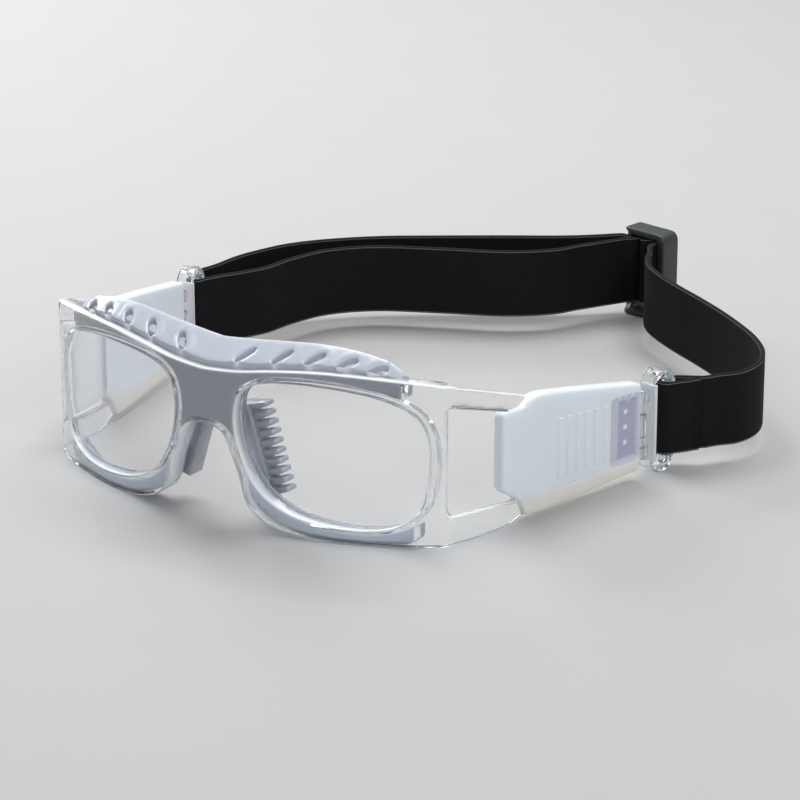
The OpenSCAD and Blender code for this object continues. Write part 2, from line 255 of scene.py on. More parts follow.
def dress(mesh, sharp=SHARP, merge=1e-6):
    bm = bmesh.new()
    bm.from_mesh(mesh)
    bmesh.ops.remove_doubles(bm, verts=bm.verts, dist=merge)
    bmesh.ops.dissolve_degenerate(bm, edges=bm.edges, dist=merge)
    bmesh.ops.recalc_face_normals(bm, faces=bm.faces)
    for f in bm.faces:
        f.smooth = True
    for e in bm.edges:
        e.smooth = len(e.link_faces) == 2 and e.calc_face_angle(0) < sharp
    bm.to_mesh(mesh)
    bm.free()


def piece(name, meshes, material, body, replaces=()):
    """One finished object from one mesh or several, riding on a body."""
    bm = bmesh.new()
    for mesh in meshes if isinstance(meshes, (list, tuple)) else [meshes]:
        bm.from_mesh(mesh)
    out = bpy.data.meshes.new(name)
    bm.to_mesh(out)
    bm.free()
    obj = bpy.data.objects.new(name, out)
    bpy.context.scene.collection.objects.link(obj)
    obj.data.materials.append(material)
    if body:
        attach(obj, body)
    if replaces:
        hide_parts(*replaces)
    return obj


EDGE_RINGS = (0, 0.13, 0.5, 1)


def fall(dist, radius):
    """How far a rounded edge falls away at a distance from the outline."""
    reach = np.clip(radius - dist, 0, radius)
    return radius - np.sqrt(np.maximum(radius ** 2 - reach ** 2, 0))


def slab(name, outline, holes, place, near, far, radius=0.5, pitch=2.5, creases=(),
         pocket=None, walls=None, relief=None, shade=None):
    """A sheet with rounded edges: an outline with holes, laid on a surface.

    place(u, v, depth) gives a point, near(u, v) and far(u, v) the depths of its two faces.
    pocket is (loops, depth): inside the loops the far face is only that deep.
    walls is {hole number: profile}, with profile(u, v) a list of (inset, depth) down the wall.
    relief(points, distances) is added to the near face's depth, and shade(points, distances)
    says how much of a finish's second colour the near face shows.
    """
    loops = [turned(outline, 1)] + [turned(h, -1) for h in holes]
    pts, edges = [], []

    def add(line, closed):
        base = len(pts)
        pts.extend(line.tolist())
        count = len(line)
        edges.extend((base + i, base + (i + 1) % count) for i in range(count if closed else count - 1))

    for loop in loops:
        for share in EDGE_RINGS:
            add(loop + left_of(loop) * radius * share, True)
    for line, closed in creases:
        add(line, closed)
    if pocket:
        for loop in pocket[0]:
            add(loop, True)
    low, high = loops[0].min(0), loops[0].max(0)
    gx, gy = np.meshgrid(np.arange(low[0], high[0], pitch), np.arange(low[1], high[1], pitch))
    gx[1::2] += pitch / 2
    grid = np.column_stack([gx.ravel(), gy.ravel()])
    grid = grid[inside(grid, loops)]
    clear = np.min([distance(grid, loop) for loop in loops], axis=0)
    pts.extend(grid[clear > radius + 0.35 * pitch].tolist())

    verts, _, tris, *_ = geometry.delaunay_2d_cdt(
        [Vector(p) for p in pts], edges, [], 0, 1e-5)
    flat = np.array([tuple(v) for v in verts])
    tris = np.array([t for t in tris if len(t) == 3])
    tris = tris[inside(flat[tris].mean(1), loops)]
    a, b, c = (flat[tris[:, k]] for k in range(3))
    tris[np.cross(b - a, c - a) < 0] = tris[np.cross(b - a, c - a) < 0][:, ::-1]

    dists = np.array([distance(flat, loop) for loop in loops])
    edge = fall(dists.min(0), radius)
    u, v = flat.T
    front = near(u, v) + edge
    if relief is not None:
        front = front + relief(flat, dists)
    region = inside(flat[tris].mean(1), pocket[0]).astype(int) if pocket else np.zeros(len(tris), int)
    depths = [far(u, v) - edge]
    if pocket:
        depths.append(np.full(len(flat), float(pocket[1])))
    points = [place(u, v, front)] + [place(u, v, d) for d in depths]
    count = len(flat)
    faces = [tuple(t) for t in tris] + [tuple(t[::-1] + count * (1 + r)) for t, r in zip(tris, region)]

    owners = {}
    for t, r in zip(tris, region):
        for i, j in ((t[0], t[1]), (t[1], t[2]), (t[2], t[0])):
            owners.setdefault((min(i, j), max(i, j)), []).append((i, j, r))
    rim = [o[0] for o in owners.values() if len(o) == 1]
    for o in owners.values():
        if len(o) == 2 and o[0][2] != o[1][2]:
            i, j = o[0][0], o[0][1]
            faces.append((i + count, j + count, j + 2 * count, i + 2 * count))
    seen = {}
    for i, j, r in rim:
        seen.setdefault(i, set()).add(r)
        seen.setdefault(j, set()).add(r)
    extra, chains = [], {}
    out = np.zeros((count, 2))
    for i, j, r in rim:
        step = flat[j] - flat[i]
        away = np.array([step[1], -step[0]]) / max(np.hypot(*step), 1e-12)
        out[i] += away
        out[j] += away
    out /= np.maximum(np.linalg.norm(out, axis=1), 1e-12)[:, None]
    total = count * len(points)

    def chain(i, r):
        if (i, r) not in chains:
            middle = []
            number = int(dists[:, i].argmin())
            if walls and number in walls:
                for inset, depth in walls[number](flat[i, 0], flat[i, 1]):
                    at = flat[i] - out[i] * inset
                    extra.append(place(at[:1], at[1:], np.array([depth]))[0])
                    middle.append(total + len(extra) - 1)
            elif r == 0 and len(seen[i]) == 2:
                middle = [i + 2 * count]
            chains[i, r] = [i, *middle, i + count * (1 + r)]
        return chains[i, r]

    for i, j, r in rim:
        one, two = chain(i, r), chain(j, r)
        if len(one) == len(two):
            faces.extend((one[k], one[k + 1], two[k + 1], two[k]) for k in range(len(one) - 1))
        else:
            faces.append((*one, *two[::-1]))
    verts = np.vstack(points + ([np.array(extra)] if extra else []))
    # The 'rim' mark: one at the outline, none past the rounded edge; clear finishes paint a white highlight
    # with it.
    rim_highlight = np.zeros(len(verts))
    rim_highlight[:count] = np.clip(1 - dists.min(0) / radius, 0, 1)
    shades = np.zeros(len(verts))
    if shade is not None:
        shades[:count] = shade(flat, dists)
    used = sorted({i for f in faces for i in f})
    order = {old: new for new, old in enumerate(used)}
    return to_mesh(name, verts[used], [tuple(order[i] for i in f) for f in faces],
                   marks={"rim": rim_highlight[used], "shade": shades[used]})


def oval_section(width, height, radius, steps=4):
    """A closed rounded rectangle about the origin."""
    out = []
    for k, (sx, sy) in enumerate(((1, 1), (-1, 1), (-1, -1), (1, -1))):
        for t in range(steps + 1):
            a = math.pi / 2 * (k + t / steps)
            out.append((sx * (width / 2 - radius) + radius * math.cos(a),
                        sy * (height / 2 - radius) + radius * math.sin(a)))
    return np.array(out)


def sweep(name, path, section, across, up=(0, 0, 1), closed=False, uv=False):
    """A section carried along a path. across(i) is the section's X direction at point i."""
    n, m = len(path), len(section)
    up = np.asarray(up, float)
    verts = np.vstack([path[i] + np.outer(section[:, 0], across[i]) + np.outer(section[:, 1], up)
                       for i in range(n)])
    faces = [(i % n * m + j, i % n * m + (j + 1) % m, (i + 1) % n * m + (j + 1) % m, (i + 1) % n * m + j)
             for i in range(n if closed else n - 1) for j in range(m)]
    if not closed:
        faces += [tuple(range(m))[::-1], tuple((n - 1) * m + j for j in range(m))]
    mesh = to_mesh(name, verts, faces)
    if uv:
        run = np.concatenate([[0], np.cumsum(np.linalg.norm(np.diff(path, axis=0), axis=1))])
        layer = mesh.uv_layers.new(name="weave")
        height = section[:, 1] - section[:, 1].min()
        for poly in mesh.polygons:
            for k in poly.loop_indices:
                i = mesh.loops[k].vertex_index
                layer.data[k].uv = (run[i // m] * MM * 10, height[i % m] * MM * 10)
    return mesh


def lathe(name, centre, profile, steps=28):
    """A turned piece: profile is (radius, height) from its foot to its top, on the centre."""
    angles = np.linspace(0, 2 * math.pi, steps, endpoint=False)
    verts = [(centre[0] + r * math.cos(t), centre[1] + r * math.sin(t), z)
             for r, z in profile for t in angles]
    faces = [(i * steps + j, i * steps + (j + 1) % steps, (i + 1) * steps + (j + 1) % steps,
              (i + 1) * steps + j) for i in range(len(profile) - 1) for j in range(steps)]
    faces += [tuple(range(steps))[::-1], tuple((len(profile) - 1) * steps + j for j in range(steps))]
    return to_mesh(name, np.array(verts), faces)


def rod_profile(radius, low, high, soft=0.3):
    return [(radius - soft, low), (radius - 0.3 * soft, low + 0.3 * soft), (radius, low + soft),
            (radius, high - soft), (radius - 0.3 * soft, high - 0.3 * soft), (radius - soft, high)]


def block(name, size, soft, place, taper=1.0):
    """A rounded block about the origin, its points sent through place()."""
    bm = bmesh.new()
    bmesh.ops.create_cube(bm, size=1)
    for v in bm.verts:
        v.co = Vector(v.co[k] * size[k] for k in range(3))
        if v.co.x > 0:
            v.co.z *= taper
    bmesh.ops.bevel(bm, geom=bm.edges[:], offset=soft, segments=3, profile=0.5, affect="EDGES")
    mesh = bpy.data.meshes.new(name)
    bm.to_mesh(mesh)
    bm.free()
    co = np.array([v.co for v in mesh.vertices])
    mesh.vertices.foreach_set("co", put(place(co)).astype(np.float32).ravel())
    dress(mesh, math.radians(50))
    return mesh


def row_tree():
    """Copies the object's own mesh along a straight row and gives it a material."""
    tree = bpy.data.node_groups.get("even row")
    if tree:
        return tree
    tree = bpy.data.node_groups.new("even row", "GeometryNodeTree")
    for label, kind in (("Geometry", "Geometry"), ("Count", "Int"), ("First", "Vector"),
                        ("Step", "Vector"), ("Finish", "Material")):
        tree.interface.new_socket(label, in_out="INPUT", socket_type=f"NodeSocket{kind}")
    tree.interface.new_socket("Geometry", in_out="OUTPUT", socket_type="NodeSocketGeometry")
    source, row, copies, real, finish, sink = (tree.nodes.new(kind) for kind in (
        "NodeGroupInput", "GeometryNodeMeshLine", "GeometryNodeInstanceOnPoints",
        "GeometryNodeRealizeInstances", "GeometryNodeSetMaterial", "NodeGroupOutput"))
    row.mode = "OFFSET"
    link = tree.links.new
    link(source.outputs["Count"], row.inputs["Count"])
    link(source.outputs["First"], row.inputs["Start Location"])
    link(source.outputs["Step"], row.inputs["Offset"])
    link(row.outputs["Mesh"], copies.inputs["Points"])
    link(source.outputs["Geometry"], copies.inputs["Instance"])
    link(copies.outputs["Instances"], real.inputs["Geometry"])
    link(real.outputs["Geometry"], finish.inputs["Geometry"])
    link(source.outputs["Finish"], finish.inputs["Material"])
    link(finish.outputs["Geometry"], sink.inputs["Geometry"])
    return tree


def row(mesh, count, step, material):
    """The mesh repeated count times, each a step of metres from the last."""
    obj = bpy.data.objects.new("row", mesh)
    bpy.context.scene.collection.objects.link(obj)
    made = obj.modifiers.new("row", "NODES")
    made.node_group = row_tree()
    values = {"Count": count, "First": (0, 0, 0), "Step": tuple(step), "Finish": material}
    for item in made.node_group.interface.items_tree:
        if item.in_out == "INPUT" and item.name in values:
            made[item.identifier] = values[item.name]
    obj.update_tag()
    out = bpy.data.meshes.new_from_object(obj.evaluated_get(bpy.context.evaluated_depsgraph_get()))
    bpy.data.objects.remove(obj)
    return out


# ---------------------------------------------------------------- the frame's plan

FRONT_R, FRONT_Y = 138.0, -7.3
LENS_R, LENS_Y, LENS_T, LIP_T = 155.0, -2.5, 2.0, 1.2
GROOVE, RING_W, SEAT_ROOM = 1.2, 1.7, 0.06
SKIN_T, LINER_PROUD = 2.6, 3.0
ARM_T, CORNER_R, ARM_END = 3.0, 8.0, 84.8
ARM_BASE = np.array([76.1, 16.7])
SPLAY = math.radians(11.75)
ARM_DIR = np.array([math.sin(SPLAY), math.cos(SPLAY)])
ARM_OUT = np.array([math.cos(SPLAY), -math.sin(SPLAY)])
FRONT_C = np.array([0, FRONT_Y + FRONT_R])
LENS_C = LENS_Y + LENS_R
BACK_R = LENS_R - LENS_T - LIP_T
PIN = (ARM_BASE + 87.8 * ARM_DIR - ARM_T / 2 * ARM_OUT)


def frame_plan(pitch=0.1):
    """Outer and inner line of the frame, seen from above, against the length along it."""
    start = ARM_BASE - CORNER_R * ARM_OUT
    gap = start - FRONT_C
    along = gap @ ARM_DIR
    run = -along - math.sqrt(along ** 2 - gap @ gap + (FRONT_R - CORNER_R) ** 2)
    centre = start + run * ARM_DIR
    turn = math.atan2(centre[1] - FRONT_C[1], centre[0] - FRONT_C[0])
    front_end = FRONT_R * (turn + math.pi / 2)
    bend_end = front_end + CORNER_R * (-SPLAY - turn)
    u = np.arange(0, bend_end + 130, pitch)
    outer, inner = np.empty((len(u), 2)), np.empty((len(u), 2))
    for i, at in enumerate(u):
        if at <= front_end:
            a = at / FRONT_R - math.pi / 2
            outer[i] = FRONT_C + FRONT_R * np.array([math.cos(a), math.sin(a)])
            x = outer[i, 0]
            inner[i] = x, LENS_C - math.sqrt(BACK_R ** 2 - x ** 2)
        elif at <= bend_end:
            a = turn + (at - front_end) / CORNER_R
            outer[i] = centre + CORNER_R * np.array([math.cos(a), math.sin(a)])
        else:
            outer[i] = ARM_BASE + (at - bend_end + run) * ARM_DIR
            inner[i] = outer[i] - ARM_T * ARM_OUT
    last, first = int(front_end / pitch), int((bend_end + 4 - run) / pitch)
    share = np.linspace(0, 1, first - last)[:, None]
    inner[last:first] = inner[last - 1] * (1 - share) + inner[first + 1] * share
    return u, outer, inner, bend_end - run


PLAN_U, OUTER, INNER, ARM_U = frame_plan()


def front_u(x):
    x = np.asarray(x, float)
    return np.sign(x) * np.interp(np.abs(x), OUTER[:, 0], PLAN_U)


def laid(points):
    """Front-view points, as length along the frame and height."""
    p = np.asarray(points, float)
    return np.column_stack([front_u(p[:, 0]), p[:, 1]])


def at_arm(points):
    """Points given along an arm and in height, as length along the frame and height."""
    return np.asarray(points, float) + [ARM_U, 0]


def plan_at(u):
    a = np.abs(u)
    o = np.column_stack([np.interp(a, PLAN_U, OUTER[:, k]) for k in range(2)])
    i = np.column_stack([np.interp(a, PLAN_U, INNER[:, k]) for k in range(2)])
    return o, i, np.where(np.asarray(u) < 0, -1.0, 1.0)


def frame_place(u, z, depth):
    o, i, side = plan_at(u)
    d = (i - o) / np.linalg.norm(i - o, axis=1)[:, None]
    p = o + d * np.asarray(depth)[:, None]
    return np.column_stack([p[:, 0] * side, p[:, 1], z])


def full_depth(u, _):
    """From the outer face to the inner one."""
    o, i, _ = plan_at(np.atleast_1d(u))
    return np.linalg.norm(i - o, axis=1)


def arm_place(side):
    """Points given along an arm, in height, and in depth from its outer face."""
    def place(s, z, depth):
        p = ARM_BASE + np.outer(s, ARM_DIR) - np.outer(depth, ARM_OUT)
        return np.column_stack([p[:, 0] * side, p[:, 1], z])
    return place


def pin_plan(points, side):
    """Plan points given from a swivel pin, outwards and along the arm."""
    p = PIN + np.outer(np.asarray(points)[:, 0], ARM_OUT) + np.outer(np.asarray(points)[:, 1], ARM_DIR)
    return p * [side, 1]


def flat_value(value):
    return lambda u, _: np.full(len(np.atleast_1d(u)), float(value))


LENS_EDGE = smooth([
    (18.3, 16.2), (23.5, 11.3), (32, 7.4), (44, 5.4), (56, 5.6), (64.5, 8.6), (69, 14.5),
    (70.8, 25), (70.4, 36), (66.5, 43.5), (58, 48), (46, 50.2), (32, 50.6), (20, 49),
    (13.6, 45), (11.6, 38.5), (12, 31), (14.2, 23.5)], 1.2, True)
NOSE_EDGE = smooth([
    (0, 33), (5, 32.3), (7.8, 30), (9.6, 26), (11.4, 21.5), (13.2, 16.5), (14.6, 11),
    (17, 6.8), (21, 4), (27, 1.9), (35, 0.5), (44, 0)], 1.2)
BROW_EDGE = smooth([
    (72, 53.4), (62, 54.4), (50, 55.2), (38, 55.2), (25, 54), (12, 52), (0, 51)], 1.2)
ARM_LOW = smooth([
    (-3, 0.6), (3, 0.7), (10, 0.15), (18, 0), (26, 0.3), (34, 2.6), (44, 3.2), (ARM_END, 4.6)], 1.5)
ARM_TOP = smooth([
    (ARM_END, 31.4), (57, 36.6), (40, 39.4), (30.2, 42.9), (12.5, 48.6), (0, 52.6)], 1.5)
WINDOW = even(corners([
    (-1.6, 10.4), (28.6, 7.7), (30, 8.4), (30, 36.9), (28.8, 37.2), (-1.6, 46.1)], 2.6), 1.0, True)
BROW_X, LOWER_X, LINER_IN = 62.5, 66.0, 1.2


def inset(line, by):
    """An open line moved to its left."""
    d = np.gradient(line, axis=0)
    d /= np.linalg.norm(d, axis=1)[:, None]
    return line + np.column_stack([-d[:, 1], d[:, 0]]) * by


def liner_half():
    """Half of the liner's outline in the front view, from the nose arch round to the brow."""
    ring = grown(LENS_EDGE, RING_W)
    keep = (ring[:, 0] < BROW_X) & (ring[:, 1] > 26) | (ring[:, 0] < LOWER_X) & (ring[:, 1] < 27)
    first = next(i for i in range(len(ring)) if keep[i] and not keep[i - 1])
    arc = np.roll(ring, -first, 0)[:keep.sum()]
    nose = inset(NOSE_EDGE, LINER_IN)
    nose[0, 0] = 0
    low = np.vstack([nose, [(55, LINER_IN), (LOWER_X - 1.6, LINER_IN), (LOWER_X, LINER_IN + 1.4),
                            (LOWER_X, arc[-1][1] - 0.8)]])
    top = inset(BROW_EDGE[BROW_EDGE[:, 0] < BROW_X - 1.2], LINER_IN * 0.6)
    top[-1, 0] = 0
    return low, arc[::-1], np.vstack([[(BROW_X, arc[0][1] + 0.8), (BROW_X, top[0, 1] - 1)], top])


def liner_outline():
    low, arc, top = liner_half()
    half = laid(np.vstack([low, arc, top]))
    return even(np.vstack([half, flipped(half)[1:-1]]), 1.1, True)


def frame_outline():
    half = np.vstack([
        laid(NOSE_EDGE), laid([(52, 0), (60, 0), (67, 0.1)]), at_arm(ARM_LOW), at_arm(ARM_TOP),
        laid(BROW_EDGE)])
    return even(np.vstack([half, flipped(half)[1:-1]]), 1.2, True)


# ---------------------------------------------------------------- finishes

def shader(name):
    material = bpy.data.materials.new(name)
    material.use_nodes = True
    tree = material.node_tree
    return material, tree, tree.nodes["Principled BSDF"], tree.nodes["Material Output"]


def group(name, inputs, outputs):
    tree = bpy.data.node_groups.new(name, "ShaderNodeTree")
    for label, value in inputs:
        kind = "NodeSocketColor" if isinstance(value, tuple) else "NodeSocketFloat"
        if label in ("Vector", "Normal"):
            kind = "NodeSocketVector"
        socket = tree.interface.new_socket(label, in_out="INPUT", socket_type=kind)
        if label not in ("Vector", "Normal"):
            socket.default_value = value
    for label, kind in outputs:
        tree.interface.new_socket(label, in_out="OUTPUT", socket_type=f"NodeSocket{kind}")
    return tree, tree.nodes.new("NodeGroupInput"), tree.nodes.new("NodeGroupOutput")


def math_node(tree, operation, a, b=None, c=None):
    node = tree.nodes.new("ShaderNodeMath")
    node.operation = operation
    for k, value in enumerate((a, b, c)):
        if value is None:
            continue
        if isinstance(value, (int, float)):
            node.inputs[k].default_value = value
        else:
            tree.links.new(value, node.inputs[k])
    return node.outputs[0]


def mix_colour(tree, share, a, b):
    node = tree.nodes.new("ShaderNodeMix")
    node.data_type = "RGBA"
    for socket, value in zip((node.inputs[0], node.inputs[6], node.inputs[7]), (share, a, b)):
        if isinstance(value, (int, float)):
            socket.default_value = value
        elif isinstance(value, (tuple, list)):
            socket.default_value = (*value[:3], 1)
        else:
            tree.links.new(value, socket)
    return node.outputs[2]


def handling_group():
    """Faint smears and fine dust: a roughness that varies, and a mask of specks."""
    if "handling marks" in bpy.data.node_groups:
        return bpy.data.node_groups["handling marks"]
    tree, source, sink = group(
        "handling marks", [("Vector", None), ("Clean", 0.03), ("Smeared", 0.12), ("Scale", 60.0)],
        [("Roughness", "Float"), ("Specks", "Float"), ("Height", "Float")])
    broad, fine = tree.nodes.new("ShaderNodeTexNoise"), tree.nodes.new("ShaderNodeTexNoise")
    for node, detail in ((broad, 4), (fine, 2)):
        tree.links.new(source.outputs["Vector"], node.inputs["Vector"])
        node.inputs["Detail"].default_value = detail
    tree.links.new(source.outputs["Scale"], broad.inputs["Scale"])
    fine.inputs["Scale"].default_value = 900
    smear = tree.nodes.new("ShaderNodeMapRange")
    smear.inputs["From Min"].default_value, smear.inputs["From Max"].default_value = 0.48, 0.72
    tree.links.new(broad.outputs[0], smear.inputs["Value"])
    tree.links.new(source.outputs["Clean"], smear.inputs["To Min"])
    tree.links.new(source.outputs["Smeared"], smear.inputs["To Max"])
    tree.links.new(smear.outputs[0], sink.inputs["Roughness"])
    specks = tree.nodes.new("ShaderNodeMapRange")
    specks.inputs["From Min"].default_value, specks.inputs["From Max"].default_value = 0.66, 0.74
    tree.links.new(fine.outputs[0], specks.inputs["Value"])
    tree.links.new(specks.outputs[0], sink.inputs["Specks"])
    tree.links.new(fine.outputs[0], sink.inputs["Height"])
    return tree


def grain_group():
    """Moulded grain: a fine height and a colour that drifts a little."""
    if "moulded grain" in bpy.data.node_groups:
        return bpy.data.node_groups["moulded grain"]
    tree, source, sink = group(
        "moulded grain", [("Vector", None), ("Colour", (0.5, 0.5, 0.5, 1.0)),
                          ("Drift", 0.12), ("Scale", 700.0)],
        [("Colour", "Color"), ("Height", "Float"), ("Roughness", "Float")])
    fine, broad = tree.nodes.new("ShaderNodeTexNoise"), tree.nodes.new("ShaderNodeTexNoise")
    for node in (fine, broad):
        tree.links.new(source.outputs["Vector"], node.inputs["Vector"])
    tree.links.new(source.outputs["Scale"], fine.inputs["Scale"])
    broad.inputs["Scale"].default_value = 45
    lift = math_node(tree, "MULTIPLY_ADD", broad.outputs[0], source.outputs["Drift"], 1.0)
    shade = tree.nodes.new("ShaderNodeVectorMath")
    shade.operation = "SCALE"
    tree.links.new(source.outputs["Colour"], shade.inputs[0])
    tree.links.new(lift, shade.inputs["Scale"])
    tree.links.new(shade.outputs[0], sink.inputs["Colour"])
    tree.links.new(fine.outputs[0], sink.inputs["Height"])
    rough = math_node(tree, "MULTIPLY_ADD", broad.outputs[0], 0.25, 0.3)
    tree.links.new(rough, sink.inputs["Roughness"])
    return tree


def place_group(tree, source, vector="Object", **values):
    """The group in a material, reading object coordinates or a UV map."""
    node = tree.nodes.new("ShaderNodeGroup")
    node.node_tree = source
    coords = tree.nodes.new("ShaderNodeTexCoord")
    tree.links.new(coords.outputs[vector], node.inputs["Vector"])
    for label, value in values.items():
        node.inputs[label].default_value = value
    return node


def bump(tree, principled, height, strength, distance_m):
    node = tree.nodes.new("ShaderNodeBump")
    node.inputs["Strength"].default_value = strength
    node.inputs["Distance"].default_value = distance_m
    tree.links.new(height, node.inputs["Height"])
    tree.links.new(node.outputs[0], principled.inputs["Normal"])


def lets_light_by(tree, surface, output, tint):
    """Lamps shine through the piece, so that it throws only a faint shadow."""
    path, clear, mix = (
        tree.nodes.new(f"ShaderNode{kind}") for kind in ("LightPath", "BsdfTransparent", "MixShader"))
    clear.inputs[0].default_value = (*tint, 1)
    shade = math_node(tree, "MAXIMUM", path.outputs["Is Shadow Ray"], path.outputs["Is Diffuse Ray"])
    tree.links.new(shade, mix.inputs[0])
    tree.links.new(surface, mix.inputs[1])
    tree.links.new(clear.outputs[0], mix.inputs[2])
    tree.links.new(mix.outputs[0], output.inputs["Surface"])


def attribute(tree, label):
    node = tree.nodes.new("ShaderNodeAttribute")
    node.attribute_name = label
    return node.outputs["Fac"]


def clear_finish(name, ior, clean, smeared, lamp_tint, tint=None, painted_highlight=0.6, haze=0.0):
    """Clear plastic with white painted on its rounded edges: a painted highlight that stands in for the
    light the edges gather.
    """
    if name in bpy.data.materials:
        return bpy.data.materials[name]
    material, tree, principled, output = shader(name)
    marks = place_group(tree, handling_group(), Clean=clean, Smeared=smeared, Scale=55)
    principled.inputs["Transmission Weight"].default_value = 1
    principled.inputs["IOR"].default_value = ior
    colour = mix_colour(tree, marks.outputs["Specks"], tint or tuple(colours().clear), (0.9, 0.92, 0.94))
    tree.links.new(colour, principled.inputs["Base Color"])
    tree.links.new(marks.outputs["Roughness"], principled.inputs["Roughness"])
    bump(tree, principled, marks.outputs["Height"], 0.03, 0.00002)
    # Painted highlight: this white surface is mixed in where the 'rim' mark is high, and the haze adds an
    # even milkiness all over.
    white, edge = tree.nodes.new("ShaderNodeBsdfPrincipled"), tree.nodes.new("ShaderNodeMixShader")
    white.inputs["Base Color"].default_value = (0.92, 0.94, 0.96, 1)
    white.inputs["Roughness"].default_value = 0.3
    white.inputs["Subsurface Weight"].default_value = 0.5
    white.inputs["Subsurface Scale"].default_value = 0.002
    rim = math_node(tree, "POWER", attribute(tree, "rim"), 1.6)
    rim = math_node(tree, "MULTIPLY_ADD", rim, painted_highlight, haze)
    tree.links.new(rim, edge.inputs[0])
    tree.links.new(principled.outputs[0], edge.inputs[1])
    tree.links.new(white.outputs[0], edge.inputs[2])
    lets_light_by(tree, edge.outputs[0], output, lamp_tint)
    return material


def frame_finish():
    # The frame's rounded edges get a strong painted white highlight.
    return clear_finish("clear moulded plastic", 1.5, 0.015, 0.06, (0.88, 0.9, 0.92), painted_highlight=0.9, haze=0.03)


def lens_finish():
    # The lens edges get the default painted white highlight.
    return clear_finish("clear lens", 1.5, 0.0, 0.015, (0.95, 0.96, 0.97), (0.985, 0.99, 1.0))


def hook_finish():
    # The hooks' posts get a painted white highlight.
    return clear_finish("clear hook plastic", 1.5, 0.02, 0.08, (0.85, 0.87, 0.9), painted_highlight=0.8, haze=0.08)


def soft_finish(name, colour, depth, roughness, coat, see_through=0.0, drift=0.12, second=None,
                foot=None):
    """Soft translucent rubber: light sinks in, and a little of what is behind shows."""
    if name in bpy.data.materials:
        return bpy.data.materials[name]
    material, tree, principled, output = shader(name)
    grain = place_group(tree, grain_group(), Colour=(*colour, 1), Drift=drift, Scale=900)
    # The 'shade' mark mixes in the second colour: painted light on the liner, the clip window's own
    # lavender on the sleeves.
    body = mix_colour(tree, attribute(tree, "shade"), grain.outputs["Colour"], second or colour)
    if foot:
        parts, coords, height = (
            tree.nodes.new(f"ShaderNode{kind}") for kind in ("SeparateXYZ", "TexCoord", "MapRange"))
        tree.links.new(coords.outputs["Object"], parts.inputs[0])
        tree.links.new(parts.outputs[2], height.inputs["Value"])
        height.inputs["From Min"].default_value = REST_Z + 6.5 * MM
        height.inputs["From Max"].default_value = REST_Z + 9.5 * MM
        body = mix_colour(tree, height.outputs[0], foot, body)
    tree.links.new(body, principled.inputs["Base Color"])
    marks = place_group(tree, handling_group(), Clean=roughness, Smeared=roughness + 0.12, Scale=70)
    tree.links.new(marks.outputs["Roughness"], principled.inputs["Roughness"])
    principled.inputs["Subsurface Weight"].default_value = 0.7
    principled.inputs["Subsurface Radius"].default_value = (1.0, 1.0, 1.1)
    principled.inputs["Subsurface Scale"].default_value = depth
    principled.inputs["Transmission Weight"].default_value = see_through
    principled.inputs["IOR"].default_value = 1.42
    principled.inputs["Coat Weight"].default_value = coat
    principled.inputs["Coat Roughness"].default_value = 0.12
    bump(tree, principled, grain.outputs["Height"], 0.12, 0.00004)
    return material


def liner_finish():
    # The second colour, a lighter grey, is painted light on the shelf and the lower rim.
    return soft_finish("grey liner rubber", tuple(colours().liner), 0.0025, 0.3, 0.4,
                       second=(0.62, 0.67, 0.73))


def pad_finish():
    return soft_finish("nose pad rubber", (0.42, 0.45, 0.49), 0.0025, 0.22, 0.5, 0.15)


def sleeve_finish():
    return soft_finish("milky silicone", tuple(colours().sleeve), 0.003, 0.3, 0.35, 0.0, 0.05,
                       (0.46, 0.47, 0.62), (0.84, 0.83, 0.77))


def slider_finish():
    if "slider plastic" in bpy.data.materials:
        return bpy.data.materials["slider plastic"]
    material, tree, principled, _ = shader("slider plastic")
    grain = place_group(tree, grain_group(), Colour=(*colours().slider, 1), Drift=0.5, Scale=1400)
    tree.links.new(grain.outputs["Colour"], principled.inputs["Base Color"])
    tree.links.new(grain.outputs["Roughness"], principled.inputs["Roughness"])
    bump(tree, principled, grain.outputs["Height"], 0.35, 0.00008)
    return material


def steel_finish():
    if "pin steel" in bpy.data.materials:
        return bpy.data.materials["pin steel"]
    material, tree, principled, _ = shader("pin steel")
    marks = place_group(tree, handling_group(), Clean=0.18, Smeared=0.35, Scale=200)
    principled.inputs["Metallic"].default_value = 1
    colour = mix_colour(tree, marks.outputs["Specks"], (0.72, 0.73, 0.75), (0.5, 0.5, 0.52))
    tree.links.new(colour, principled.inputs["Base Color"])
    tree.links.new(marks.outputs["Roughness"], principled.inputs["Roughness"])
    bump(tree, principled, marks.outputs["Height"], 0.1, 0.00002)
    return material


